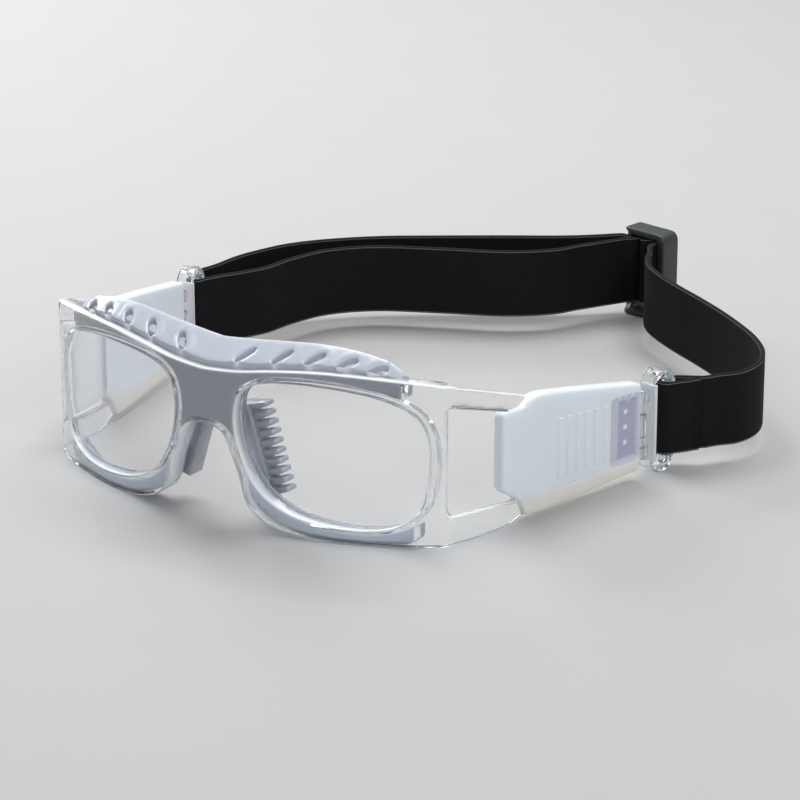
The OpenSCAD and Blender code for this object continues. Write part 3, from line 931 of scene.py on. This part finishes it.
def weave_group():
    """Elastic webbing: wales along the strap, picks across it, and zigzag edge threads.

    Its vector is the strap's own UV map, in tenths of a metre along and up the strap.
    """
    if "elastic weave" in bpy.data.node_groups:
        return bpy.data.node_groups["elastic weave"]
    tree, source, sink = group(
        "elastic weave", [("Vector", None), ("Body", (0.01, 0.01, 0.01, 1.0)),
                          ("Thread", (0.2, 0.2, 0.2, 1.0)), ("Width", 0.25), ("Picks", 60.0)],
        [("Colour", "Color"), ("Height", "Float")])
    parts = tree.nodes.new("ShaderNodeSeparateXYZ")
    tree.links.new(source.outputs["Vector"], parts.inputs[0])
    along, up = parts.outputs[0], parts.outputs[1]
    picks = math_node(tree, "SINE", math_node(tree, "MULTIPLY", along, math_node(
        tree, "MULTIPLY", source.outputs["Picks"], 2 * math.pi)))
    wales = math_node(tree, "SINE", math_node(tree, "MULTIPLY", up, 2 * math.pi * 110))
    cloth = math_node(tree, "MULTIPLY_ADD", picks, 0.3, math_node(tree, "MULTIPLY", wales, 0.5))
    middle = math_node(tree, "MULTIPLY", source.outputs["Width"], 0.5)
    off = math_node(tree, "ABSOLUTE", math_node(tree, "SUBTRACT", up, middle))
    room = math_node(tree, "SUBTRACT", middle, off)
    wave = math_node(tree, "MULTIPLY", math_node(tree, "PINGPONG", along, 0.007), 0.35)
    centre = math_node(tree, "ADD", wave, 0.0045)
    edge = math_node(tree, "COMPARE", room, centre, 0.0014)
    noise = tree.nodes.new("ShaderNodeTexNoise")
    noise.inputs["Scale"].default_value = 220
    tree.links.new(source.outputs["Vector"], noise.inputs["Vector"])
    worn = math_node(tree, "MULTIPLY", edge, math_node(tree, "MULTIPLY_ADD", noise.outputs[0], 1.2, 0.1))
    body = mix_colour(tree, math_node(tree, "MULTIPLY", noise.outputs[0], 0.35),
                      source.outputs["Body"], (0.012, 0.012, 0.013))
    tree.links.new(mix_colour(tree, worn, body, source.outputs["Thread"]), sink.inputs["Colour"])
    tree.links.new(math_node(tree, "ADD", cloth, edge), sink.inputs["Height"])
    return tree


def strap_finish():
    if "elastic webbing" in bpy.data.materials:
        return bpy.data.materials["elastic webbing"]
    material, tree, principled, _ = shader("elastic webbing")
    weave = place_group(tree, weave_group(), "UV", Body=(*colours().strap, 1),
                        Thread=(*colours().thread, 1), Width=STRAP_W * MM * 10, Picks=70)
    tree.links.new(weave.outputs["Colour"], principled.inputs["Base Color"])
    principled.inputs["Roughness"].default_value = 0.8
    principled.inputs["Specular IOR Level"].default_value = 0.16
    bump(tree, principled, weave.outputs["Height"], 0.3, 0.00008)
    return material


def thread_finish():
    if "sewing thread" in bpy.data.materials:
        return bpy.data.materials["sewing thread"]
    material, tree, principled, _ = shader("sewing thread")
    grain = place_group(tree, grain_group(), Colour=(0.005, 0.005, 0.006, 1), Drift=0.6, Scale=3000)
    tree.links.new(grain.outputs["Colour"], principled.inputs["Base Color"])
    principled.inputs["Roughness"].default_value = 0.85
    principled.inputs["Specular IOR Level"].default_value = 0.1
    bump(tree, principled, grain.outputs["Height"], 0.4, 0.00005)
    return material


# ---------------------------------------------------------------- frame and lenses

def post_mesh(name, side, at, radius, low, high, soft=0.3):
    return lathe(name, pin_plan([at], side)[0], rod_profile(radius, low, high, soft))


def on_pin(side):
    """Sends points given from a pin, as outwards, along and up, to the side's pin."""
    def place(p):
        return np.column_stack([pin_plan(p[:, :2], side), p[:, 2]])
    return place


def moved(centre, place):
    """place() for a block of that centre."""
    return lambda p: place(p + np.asarray(centre, float))


def lens_wall(u, _):
    """Down the wall of a lens opening: the groove that the lens sits in."""
    x, y = plan_at([u])[0][0]
    front = LENS_C - math.sqrt(LENS_R ** 2 - x ** 2) - y - SEAT_ROOM
    back = LENS_C - math.sqrt((LENS_R - LENS_T) ** 2 - x ** 2) - y + SEAT_ROOM
    deep = GROOVE + 0.1
    return [(0, front - 0.3), (0.25, front), (deep, front), (deep, back), (0, back)]


class GOGGLES_OT_frame(bpy.types.Operator):
    """Makes the clear front with its lens grooves, the windowed arms and their knuckles"""
    bl_idname = "goggles.frame"
    bl_label = "Frame"

    def execute(self, context):
        ring = laid(LENS_EDGE)
        window = at_arm(WINDOW)
        body = slab(
            "frame_body", frame_outline(), [ring, flipped(ring), window, flipped(window)],
            frame_place, flat_value(0), full_depth, sizes().frame_round / MM,
            pocket=([liner_outline()], SKIN_T), walls={1: lens_wall, 2: lens_wall})
        parts = [body]
        for side in SIDES.values():
            parts.append(post_mesh("knuckle", side, (0, 0), KNUCKLE_R, *ARM_KNUCKLE))
            parts.append(block("web", (2.2, 2.4, 8), 0.3, moved((0, -2.4, 17.5), on_pin(side))))
        piece("clear_frame", parts, frame_finish(), "root", ["frame"])
        return {"FINISHED"}


class GOGGLES_OT_lenses(bpy.types.Operator):
    """Makes the two clear curved lenses"""
    bl_idname = "goggles.lenses"
    bl_label = "Lenses"

    def execute(self, context):
        def surface(radius):
            return lambda x, z: LENS_C - np.sqrt(radius ** 2 - np.asarray(x) ** 2)
        for name, side in SIDES.items():
            edge = grown(LENS_EDGE, GROOVE - 0.1) * [side, 1]
            mesh = slab("lens", edge, [], lambda x, z, y: np.column_stack([x, y, z]),
                        surface(LENS_R), surface(LENS_R - LENS_T), 0.25, 3)
            piece(f"clear_lens_{name}", mesh, lens_finish(), "root", [f"lens_{name}"])
        return {"FINISHED"}


# ---------------------------------------------------------------- liner and nose pads

SHELF_TOP = smooth([(0, 55.4), (12, 56.4), (25, 57), (36, 56.6), (46, 54.8), (55, 51.6), (62.5, 47.8)], 0.5)
SHELF_SLOPE, SHELF_T = math.tan(math.radians(30)), 2.2
SHELF_FRONT_R, SHELF_BACK_R = 135.0, 200.0
SHELF_BACK_Y = FRONT_Y + 1.2 + 11.0 + SHELF_BACK_R
VENTS = [(12.2, -0.8), (25.1, 0.7), (35.9, 2.7), (46, 5.3), (55, 8.4)]
VENT_TURN = math.radians(38)


def shelf_height(x, y):
    return np.interp(np.abs(x), SHELF_TOP[:, 0], SHELF_TOP[:, 1]) + SHELF_SLOPE * np.asarray(y)


def shelf_outline():
    x = np.linspace(0, BROW_X - 0.4, 60)
    front = np.column_stack([x, FRONT_C[1] - np.sqrt(SHELF_FRONT_R ** 2 - x ** 2)])
    back = np.column_stack([x, SHELF_BACK_Y - np.sqrt(SHELF_BACK_R ** 2 - x ** 2)])
    narrowed = (1 - np.clip((x - 50) / (BROW_X - 50.4), 0, 1) ** 3) ** (1 / 3)
    back[:, 1] = front[:, 1] + (back[:, 1] - front[:, 1]) * narrowed
    half = np.vstack([front, back[::-1]])
    return even(np.vstack([half, flipped(half)[1:-1]]), 1.1, True)


def vent_hole(x, y, side):
    """A leaf-shaped slot, slanting outwards as it runs back."""
    t = np.linspace(0, 2 * math.pi, 30, endpoint=False)
    along, over = 3.5 * np.cos(t), 1.35 * np.sign(np.sin(t)) * np.abs(np.sin(t)) ** 0.7
    c, s = math.cos(VENT_TURN), math.sin(VENT_TURN)
    return np.column_stack([x + along * s + over * c, y + along * c - over * s]) * [side, 1]


def raised_rims(_, dists):
    """The top of the shelf swells round each vent."""
    near_vent = dists[1:].min(0)
    return -0.35 * np.exp(-((near_vent - 0.9) / 0.6) ** 2)


class GOGGLES_OT_liner(bpy.types.Operator):
    """Makes the soft liner behind the clear front, and the vented shelf above the brow"""
    bl_idname = "goggles.liner"
    bl_label = "Liner"

    def execute(self, context):
        loop = turned(liner_outline(), 1)
        rings = [grown(laid(LENS_EDGE), RING_W) * [side, 1] for side in SIDES.values()]

        def moulded_lines(flat, _):
            """Shallow steps that run beside the lens along the lower rim."""
            off = np.min([distance(flat, ring) for ring in rings], axis=0)
            low_rim = np.clip((20 - flat[:, 1]) / 8, 0, 1)
            return low_rim * (0.5 * (off < 1.7) + 0.45 * (off > 3.4))

        # The 'shade' mark paints the lower rim lighter towards the bottom: painted light where the lamps
        # leave it dim.
        core = slab("liner_core", loop + left_of(loop) * 0.06, [], frame_place,
                    flat_value(SKIN_T + 0.06), lambda u, z: full_depth(u, z) + LINER_PROUD,
                    sizes().liner_round / MM, 1.4, relief=moulded_lines,
                    shade=lambda flat, _: np.clip((24 - flat[:, 1]) / 8, 0, 1))

        def shelf_place(x, y, depth):
            return np.column_stack([x, y, shelf_height(x, y) - depth])

        def shelf_depth(x, y):
            frame_top = np.interp(np.abs(x), BROW_EDGE[::-1, 0], BROW_EDGE[::-1, 1])
            return np.clip(shelf_height(x, y) - frame_top - 0.05, 0.5, SHELF_T)

        holes = [vent_hole(x, y, side) for side in SIDES.values() for x, y in VENTS]
        shelf = slab("shelf", shelf_outline(), holes, shelf_place, flat_value(0), shelf_depth,
                     0.24, 1.4, relief=raised_rims)
        # The shelf's 'shade' mark of 0.7 paints it lighter: painted light for the glow through the thin
        # shelf and its sheen.
        liner = piece("soft_liner", [core, marked(shelf, 0.7)], liner_finish(), "root",
                      ["brow_liner"])
        return {"FINISHED"}


PAD_LOW, PAD_HIGH = np.array([18.0, 9.0]), np.array([9.0, 38.0])
PAD_Y = LENS_Y + LENS_T + LIP_T + LINER_PROUD + 0.9


def pad_place(side):
    """Sends points given across a nose pad, back from the lens and up the pad, to the nose."""
    up = (PAD_HIGH - PAD_LOW) / np.linalg.norm(PAD_HIGH - PAD_LOW)
    over = np.array([up[1], -up[0]])

    def place(p):
        xz = PAD_LOW + np.outer(p[:, 0], over) + np.outer(p[:, 2], up)
        return np.column_stack([xz[:, 0] * side, PAD_Y + p[:, 1], xz[:, 1]])
    return place


class GOGGLES_OT_nose_pads(bpy.types.Operator):
    """Makes the two soft nose pads, each a flange with a comb of fins"""
    bl_idname = "goggles.nose_pads"
    bl_label = "Nose pads"

    def execute(self, context):
        length = np.linalg.norm(PAD_HIGH - PAD_LOW)
        fins = sizes().pad_fins
        pitch = (length - 2.6) / (fins - 1)
        for name, side in SIDES.items():
            place = pad_place(side)
            flange = block("flange", (3.6, 7, length), 0.8, moved((-1.7, 3.5, length / 2), place))
            fin = block("fin", (6.4, 5, 2.0), 0.6, moved((2.9, 3.3, 1.3), place), 0.85)
            ends = place(np.array([(0, 0, 0), (0, 0, pitch)]))
            comb = row(fin, fins, (ends[1] - ends[0]) * MM, pad_finish())
            pad = piece(f"nose_pad_comb_{name}", [flange, comb], pad_finish(), "root",
                        [f"nose_pad_{name}"])
        return {"FINISHED"}


# ---------------------------------------------------------------- sleeves

SLEEVE_END = ARM_END + 0.7
SLEEVE_SIDE = [
    (22.4, 13.0), (24.5, 11.4), (29.5, 8.4), (31.3, 6.2), (32.6, 2.6), (34.4, 1.8), (60, 2.5),
    (SLEEVE_END, 3.6), (SLEEVE_END, 33), (57.4, 38.2), (40.5, 41.0), (36.5, 40.9), (33.2, 39.3),
    (31.6, 38.4), (24, 38.6), (22.4, 37.4)]
FLAP_SIDE = [(4, 13), (6, 11.6), (26, 11.6), (26, 38.4), (5, 44), (4, 43)]
SLEEVE_NEAR, SLEEVE_FAR = -1.0, 4.0


def box_loop(s0, s1, z0, z1, slope=0.0, radius=1.0):
    """A rounded rectangle along an arm, whose top falls with the arm."""
    return even(corners([(s0, z0), (s1, z0), (s1, z1 - slope * (s1 - s0)), (s0, z1)], radius), 0.8, True)


RECESS = box_loop(71.4, 84.6, 7.4, 31, 0.05)
RECESS_INNER = box_loop(74.6, 84.0, 9.4, 29, 0.05)


def raised_boxes():
    """Boxes (s0, s1, z0, z1, height) that stand proud of the sleeve: ribs, border dashes, tabs."""
    count = sizes().sleeve_ribs
    ribs = [(46.4 + 4.2 * i, 48.9 + 4.2 * i, 10.9, 31.4 - 0.3 * i, 0.65) for i in range(count)]
    dashes = [(43.2 + 3.5 * i, 45.6 + 3.5 * i, 7.7 + 0.1 * i, 8.5 + 0.1 * i, 0.3) for i in range(8)]
    tabs = [(77.4, 79.4, z, z + 2, 0.4) for z in (13.6, 18.8, 24)]
    return ribs, dashes, tabs


def over_box(flat, box, edge=0.35):
    """One over the box, falling to nothing at its outline."""
    s, z = flat.T
    inner = np.minimum(np.minimum(s - box[0], box[1] - s), np.minimum(z - box[2], box[3] - z))
    return np.clip(inner / edge, 0, 1)


def sleeve_relief(flat, _):
    """A recess near the rear, a step down to the front flap, ribs, and a border at the bottom."""
    s, z = flat.T
    sunk = 0.45 * inside(flat, [RECESS]) + 0.25 * inside(flat, [RECESS_INNER])
    flap = 0.3 * np.clip((39.5 - s) / 4, 0, 1)
    border_z = 7.4 + 0.03 * (s - 40)
    border = -0.25 * np.clip((border_z - z) / 0.4, 0, 1) * np.clip((s - 38) / 2, 0, 1)
    proud = sum(box[4] * over_box(flat, box) for boxes in raised_boxes() for box in boxes)
    return sunk + flap + border - proud


def sleeve_shade(flat, _):
    """The recess lets the arm's plastic show through, but its tabs stay white."""
    tabs = sum(over_box(flat, box, 0.1) for box in raised_boxes()[2])
    return (0.6 * inside(flat, [RECESS]) + 0.4 * inside(flat, [RECESS_INNER])) * (1 - tabs)


class GOGGLES_OT_sleeves(bpy.types.Operator):
    """Makes the milky silicone sleeves with their ribs and recessed clip window"""
    bl_idname = "goggles.sleeves"
    bl_label = "Sleeves"

    def execute(self, context):
        for name, side in SIDES.items():
            place = arm_place(side)
            creases = []
            for loop in (RECESS, RECESS_INNER):
                creases += [(loop, True), (grown(loop, 0.35), True)]
            s_line = np.linspace(38.5, 84, 46)
            for lift in (0, 0.4):
                creases.append((np.column_stack([s_line, 7.4 + 0.03 * (s_line - 40) - lift]), False))
            for boxes in raised_boxes():
                for s0, s1, z0, z1, _ in boxes:
                    for by in (0, 0.35):
                        creases.append((box_loop(s0 + by, s1 - by, z0 + by, z1 - by, radius=0.1), True))
            side_line = even(corners(SLEEVE_SIDE, 1.6), 1.0, True)
            shell = slab("sleeve", side_line, [], place, flat_value(SLEEVE_NEAR), flat_value(SLEEVE_FAR),
                         0.9, 1.6, creases, relief=sleeve_relief, shade=sleeve_shade)
            parts = [shell]
            if name == "left":
                flap = even(corners(FLAP_SIDE, 1.6), 1.0, True)
                sheet = slab("flap", flap, [], place, flat_value(3.1), flat_value(SLEEVE_FAR), 0.4)
                piece("sleeve_flap_left", sheet, sleeve_finish(), "root")
            piece(f"milky_sleeve_{name}", parts, sleeve_finish(), "root",
                  [f"sleeve_{name}"])
        return {"FINISHED"}


# ---------------------------------------------------------------- hooks

RING_R, RING_H, RING_D, RING_WALL, RING_Z = 5.5, 35.0, 6.0, 1.6, 0.1
KNUCKLE_R, ARM_KNUCKLE, HOOK_KNUCKLES, KNUCKLE_H = 1.9, (13.5, 21.5), (6, 25), 4
POST_GAP, BAR_S, BAR_R = 2.3, 12.0, 1.6
STRAP_W, STRAP_Z = 25.0, 5.1


def ring_path(pitch=0.8):
    """The hook's ring, seen along the arm: open behind, where the strap leaves."""
    r = RING_R - RING_WALL / 2
    middle, low, high = POST_GAP + RING_R, RING_Z + RING_R, RING_Z + RING_H - RING_R
    turn = np.linspace(0, math.pi, 25)
    top = [(middle + r * math.cos(t), high + r * math.sin(t)) for t in turn]
    foot = [(middle - r * math.cos(t), low - r * math.sin(t)) for t in turn]
    tail = [(middle + r, STRAP_Z + STRAP_W + 0.8)]
    toe = [(middle + r, STRAP_Z - 0.8)]
    return even(np.array(tail + top + foot + toe), pitch)


class GOGGLES_OT_hooks(bpy.types.Operator):
    """Makes the clear strap hooks, and finishes the steel swivel pins"""
    bl_idname = "goggles.hooks"
    bl_label = "Hooks"

    def execute(self, context):
        for name, side in SIDES.items():
            place = on_pin(side)
            line = ring_path()
            d = np.gradient(line, axis=0)
            d /= np.linalg.norm(d, axis=1)[:, None]
            wall = oval_section(RING_D, RING_WALL, 0.5)
            verts, m = [], len(wall)
            for (y, z), (dy, dz) in zip(line, d):
                verts.append(np.column_stack([wall[:, 0], y - dz * wall[:, 1], z + dy * wall[:, 1]]))
            n = len(line)
            faces = [(i * m + j, i * m + (j + 1) % m, (i + 1) * m + (j + 1) % m, (i + 1) * m + j)
                     for i in range(n - 1) for j in range(m)]
            faces += [tuple(range(m))[::-1], tuple((n - 1) * m + j for j in range(m))]
            parts = [
                to_mesh("ring", place(np.vstack(verts)), faces),
                # The post's high 'rim' mark paints it white: a painted highlight down the front of the
                # post.
                marked(block("post", (RING_D - 0.4, 1.6, RING_H - 9), 0.45, moved(
                    (0, POST_GAP + 2.1, RING_Z + RING_H / 2), place)), 0.85, "rim"),
                post_mesh("bar", side, (0, BAR_S), BAR_R, RING_Z + 1.2, RING_Z + RING_H - 1.2),
            ]
            for low in HOOK_KNUCKLES:
                parts.append(post_mesh("knuckle", side, (0, 0), KNUCKLE_R, low, low + KNUCKLE_H, 0.25))
                parts.append(block("web", (2.4, 2.6, KNUCKLE_H), 0.25, moved(
                    (0, 2, low + KNUCKLE_H / 2), place)))
            piece(f"clear_hook_{name}", parts, hook_finish(), f"{name}_hook",
                  [f"hook_{name}"])
            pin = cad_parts[f"hook_pin_{name}"]
            pin.data.materials.clear()
            pin.data.materials.append(steel_finish())
        return {"FINISHED"}


# ---------------------------------------------------------------- strap and slider

SLIDER_AT = np.array([13.2, 245.6])
SLIDER_TURN = math.radians(-10)
SLIDER_L, SLIDER_D, SLIDER_H, PLATE_T = 19.2, 8.8, 33.0, 2.6
RAIL_T, FRONT_CUT, SLIDER_CORNER, HOLE_CORNER = 3.4, 2.2, 3.6, 1.4


def rounded_box(width, height):
    """Corners and side points of a rectangle about the origin, the same number for any size."""
    x, y = width / 2, height / 2
    left = [(-x, share * y) for share in (1, 0.75, 0, -0.75, -1)]
    return [(x, y), (0, y), *left, (0, -y), (x, -y), (x, 0)]


def slider_plan(points):
    """Plan points given from the slider's middle, along and across it."""
    c, s = math.cos(SLIDER_TURN), math.sin(SLIDER_TURN)
    p = np.asarray(points, float)
    return SLIDER_AT + np.column_stack([p[:, 0] * c - p[:, 1] * s, p[:, 0] * s + p[:, 1] * c])


# From the right tail round the right hook's bar, and on along the running strap
RIGHT_TAIL = [(6.4, 21.4), (5.6, 19.9), (4.9, 17.6), (4.0, 15.4), (3.1, 13.6)]
BAR_FOLD = [(2.5 * math.cos(a), BAR_S - 2.5 * math.sin(a)) for a in np.linspace(0.1, math.pi - 0.1, 7)]
RIGHT_LEG = [(-2.3, 14.0), (-0.8, 17.0), (3.0, 20.4), (6.3, 23.6)]
RIGHT_RUN = [
    (106.3, 129.3), (110.5, 135), (111.8, 143), (110.2, 151), (105.5, 160), (97, 169.5),
    (86, 178.5), (74, 187), (62, 194.5), (50, 201.5), (38.5, 209), (30, 216), (24.5, 223.5),
    (21, 231.5)]
THREAD_IN = [(6.2, -8), (5.2, -4), (4.3, 0), (3, 3.1), (0, 4.3)]
THREAD_OUT = [(0, 4.3), (-3, 3.1), (-4.3, 0), (-5.6, -3), (-8.2, -4.3), (-10.5, -5)]
OUTER_RUN = [
    (-7, 234), (-16, 227), (-32, 216.5), (-51, 203.5), (-69, 190.5), (-83, 176.5), (-91, 165),
    (-95, 154), (-97.6, 143), (-98.2, 131)]
INNER_RUN = [
    (-3, 223.5), (-9, 212.5), (-22, 201.5), (-42, 192), (-63, 181), (-75.5, 167.5), (-80.5, 151.5),
    (-82, 139), (-85.6, 129.8)]
LEFT_IN_LEG = [(-7.6, 19.5), (-4.8, 15.6), (-3.0, 13)]
LEFT_OUT_LEG = [(2.6, 13.2), (3.0, 17), (2.6, 21.5)]
SEWN_END = [
    (-6.4, -8.5), (-4.2, -5.0), (-2.7, -1.2), (-1.9, 1.7), (0, 2.5), (1.8, 1.75), (2.5, 0),
    (1.2, -2.4), (-1.4, -3.9)]


def webbing(name, line):
    """A length of flat webbing standing on edge along a plan line."""
    path = np.column_stack([line, np.full(len(line), STRAP_Z + STRAP_W / 2)])
    d = np.gradient(line, axis=0)
    d /= np.linalg.norm(d, axis=1)[:, None]
    across = np.column_stack([d[:, 1], -d[:, 0], np.zeros(len(d))])
    return sweep(name, path, strap_section(), across, uv=True)


def strap_section():
    thick, soft = sizes().strap_thick / MM, 0.55
    out = []
    for z in np.linspace(-STRAP_W / 2 + 1.2, STRAP_W / 2 - 1.2, 8):
        out.append((thick / 2, z))
    for a in np.linspace(0, math.pi, 7):
        out.append((thick / 2 * math.cos(a), STRAP_W / 2 - soft + soft * math.sin(a)))
    return np.array(out + [(-x, -z) for x, z in out])


def nearest(line, near):
    """Index of the line's point that is nearest to a place."""
    return int(np.linalg.norm(line - np.asarray(near), axis=1).argmin())


def strap_lines():
    """The five lengths of webbing, each on no more than one joint."""
    pitch = 0.8
    right = smooth(np.vstack([
        pin_plan(RIGHT_TAIL + BAR_FOLD + RIGHT_LEG, 1), RIGHT_RUN, slider_plan(THREAD_IN)]), pitch)
    left = smooth(np.vstack([
        slider_plan(THREAD_OUT), OUTER_RUN,
        pin_plan(LEFT_OUT_LEG[::-1] + BAR_FOLD + LEFT_IN_LEG[::-1], -1),
        INNER_RUN[::-1], slider_plan(SEWN_END)]), pitch)
    cut = nearest(right, (80, 183))
    half = len(left) // 2
    out_cut, in_cut = nearest(left[:half], (-60, 197)), nearest(left[half:], (-52, 187)) + half
    return {
        "strap_right_end": right[:cut + 1],
        "strap_right_run": right[cut:],
        "strap_outer_run": left[:out_cut + 1],
        "strap_left_end": left[out_cut:in_cut + 1],
        "strap_inner_run": left[in_cut:],
    }


STITCHES, STITCH_PITCH, SEAM_GAP = 12, 1.9, 1.3
SEAM_AT, SEAM_ALONG = np.array([6.25, 19.6]), np.array([0.47, 0.88])


def stitch(back):
    """The lowest stitch of a seam across the sewn tail, a little back from the tail's end."""
    out = np.array([SEAM_ALONG[1], -SEAM_ALONG[0]])

    def place(p):
        plan = SEAM_AT - SEAM_ALONG * back + np.outer(p[:, 0], out) + np.outer(p[:, 1], SEAM_ALONG)
        return np.column_stack([pin_plan(plan, 1), STRAP_Z + 1.9 + p[:, 2]])
    return block("stitch", (0.3, 0.5, 1.4), 0.14, place)


class GOGGLES_OT_strap(bpy.types.Operator):
    """Makes the elastic strap, folded round both hooks and threaded through the slider"""
    bl_idname = "goggles.strap"
    bl_label = "Strap"

    def execute(self, context):
        lines = strap_lines()
        joins = {
            "strap_right_end": ("root", "right_hook", (98, 165, 18), (96.5, 124, 18), ["strap_loop_right"]),
            "strap_left_end": ("root", "left_hook", (-90, 165, 18), (-96.5, 124, 18), ["strap_loop_left"]),
            "strap_right_run": ("root", "strap_slider", (52, 214, 18), (21, 234, 18), ["strap_right"]),
            "strap_outer_run": ("root", "strap_slider", (-38, 228, 18), (1, 236, 18), ["strap_outer"]),
            "strap_inner_run": ("root", "strap_slider", (-34, 208, 18), (3, 234, 18),
                                ["strap_inner", "strap_threading"]),
        }
        for name, (one, two, start, end, nodes) in joins.items():
            mesh = webbing(name, lines[name])
            obj = piece(name, mesh, strap_finish(), None, nodes)
            tuple(put(start))
            tuple(put(end))
            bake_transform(obj)
        one, two, start, end, _ = joins["strap_right_end"]
        seams = [row(stitch(back), STITCHES, (0, 0, STITCH_PITCH * MM), thread_finish())
                 for back in (0, SEAM_GAP)]
        sewn = piece("strap_stitches", seams, thread_finish(), None)
        tuple(put(start))
        tuple(put(end))
        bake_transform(sewn)
        return {"FINISHED"}


class GOGGLES_OT_slider(bpy.types.Operator):
    """Makes the slider: a rounded ring with the bar that the strap turns on"""
    bl_idname = "goggles.slider"
    bl_label = "Slider"

    def execute(self, context):
        def place(p):
            return np.column_stack([slider_plan(p[:, :2]), p[:, 2]])
        outer = corners(rounded_box(SLIDER_L, SLIDER_H), SLIDER_CORNER, 8)
        inner = corners(rounded_box(SLIDER_L - 2 * RAIL_T, SLIDER_H - 2 * PLATE_T), HOLE_CORNER, 8)
        verts, n = [], len(outer)
        for (ou, oz), (iu, iz) in zip(outer, inner):
            wall = math.hypot(ou - iu, oz - iz)
            into = np.array([ou - iu, oz - iz]) / wall
            cut = np.clip((SLIDER_H / 2 - PLATE_T - abs(iz)) / 1.5, 0, 1) * (ou < -SLIDER_L / 4)
            front = -SLIDER_D / 2 + FRONT_CUT * cut
            middle, deep = (SLIDER_D / 2 + front) / 2, SLIDER_D / 2 - front
            ring = oval_section(wall, deep, 1.0, 5)
            verts.append(np.column_stack([
                (ou + iu) / 2 + ring[:, 0] * into[0], middle + ring[:, 1],
                SLIDER_H / 2 + (oz + iz) / 2 + ring[:, 0] * into[1]]))
        m = len(verts[0])
        faces = [(i * m + j, i * m + (j + 1) % m, (i + 1) % n * m + (j + 1) % m, (i + 1) % n * m + j)
                 for i in range(n) for j in range(m)]
        parts = [to_mesh("ring", place(np.vstack(verts)), faces),
                 lathe("bar", slider_plan([(0, 0)])[0], rod_profile(BAR_R, 0.8, SLIDER_H - 0.8))]
        piece("strap_slider_body", parts, slider_finish(), "strap_slider", ["slider"])
        return {"FINISHED"}


# ---------------------------------------------------------------- stage

CAMERA_AT = (0.624935, -0.824465, 0.382367)
CAMERA_TURN = (69.95, 0, 34.0)
CAMERA_LENS = 159.3


def soft_light(name, at, aim, width, height, power, colour=(1, 1, 1)):
    data = bpy.data.lights.new(name, "AREA")
    data.shape, data.size, data.size_y, data.energy, data.color = "RECTANGLE", width, height, power, colour
    lamp = bpy.data.objects.new(name, data)
    lamp.location = at
    lamp.rotation_euler = (Vector(aim) - Vector(at)).to_track_quat("-Z", "Y").to_euler()
    bpy.context.scene.collection.objects.link(lamp)


class GOGGLES_OT_stage(bpy.types.Operator):
    """Makes the camera, the pale floor and the soft studio light"""
    bl_idname = "goggles.stage"
    bl_label = "Stage"

    def execute(self, context):
        context.scene.view_settings.view_transform = "Standard"
        data = bpy.data.cameras.new("camera")
        data.lens, data.sensor_width = CAMERA_LENS, 36
        camera = bpy.data.objects.new("camera", data)
        camera.location = CAMERA_AT
        camera.rotation_euler = [math.radians(a) for a in CAMERA_TURN]
        context.scene.collection.objects.link(camera)
        context.scene.camera = camera

        mesh = bpy.data.meshes.new("floor")
        mesh.from_pydata([(x, y, REST_Z - 0.0002) for x, y in ((-6, -6), (6, -6), (6, 6), (-6, 6))],
                         [], [(0, 1, 2, 3)])
        floor = bpy.data.objects.new("floor", mesh)
        context.scene.collection.objects.link(floor)
        material, tree, principled, _ = shader("pale floor")
        grain = place_group(tree, grain_group(), Colour=(*colours().floor, 1), Drift=0.03, Scale=400)
        tree.links.new(grain.outputs["Colour"], principled.inputs["Base Color"])
        principled.inputs["Roughness"].default_value = 0.7
        mesh.materials.append(material)

        world = bpy.data.worlds.new("studio")
        world.use_nodes = True
        world.node_tree.nodes["Background"].inputs[0].default_value = (0.86, 0.9, 0.95, 1)
        world.node_tree.nodes["Background"].inputs[1].default_value = 0.42
        context.scene.world = world
        middle = (0, 0.09, 0)
        soft_light("overhead", (-0.15, 0.5, 1.1), middle, 1.0, 0.7, 12.5)
        soft_light("back left", (-1.0, 0.6, 0.55), middle, 0.7, 0.5, 7, (0.96, 0.98, 1))
        soft_light("front right", (1.0, -0.4, 0.8), middle, 0.6, 0.6, 5)
        return {"FINISHED"}


class GOGGLES_PT_panel(bpy.types.Panel):
    """Lists the pieces and the sizes and colours that they use"""
    bl_idname = "GOGGLES_PT_panel"
    bl_label = "Sports Goggles"
    bl_space_type = "VIEW_3D"
    bl_region_type = "UI"
    bl_category = "Goggles"

    def draw(self, context):
        for settings in (context.scene.goggles_sizes, context.scene.goggles_colours):
            box = self.layout.box()
            for name in settings.bl_rna.properties.keys():
                if name not in ("rna_type", "name"):
                    box.prop(settings, name)
        column = self.layout.column(align=True)
        for operator in OPERATORS:
            column.operator(operator.bl_idname)


OPERATORS = (
    GOGGLES_OT_stage, GOGGLES_OT_frame, GOGGLES_OT_lenses, GOGGLES_OT_liner, GOGGLES_OT_nose_pads,
    GOGGLES_OT_sleeves, GOGGLES_OT_hooks, GOGGLES_OT_strap, GOGGLES_OT_slider)
CLASSES = (GogglesSizes, GogglesColours, *OPERATORS, GOGGLES_PT_panel)


def register():
    for cls in CLASSES:
        bpy.utils.register_class(cls)
    bpy.types.Scene.goggles_sizes = PointerProperty(type=GogglesSizes)
    bpy.types.Scene.goggles_colours = PointerProperty(type=GogglesColours)


def unregister():
    del bpy.types.Scene.goggles_colours
    del bpy.types.Scene.goggles_sizes
    for cls in reversed(CLASSES):
        bpy.utils.unregister_class(cls)


def main():
    register()
    for operator in OPERATORS:
        area_name, call = operator.bl_idname.split(".")
        getattr(getattr(bpy.ops, area_name), call)()


if __name__ == "__main__":
    main()
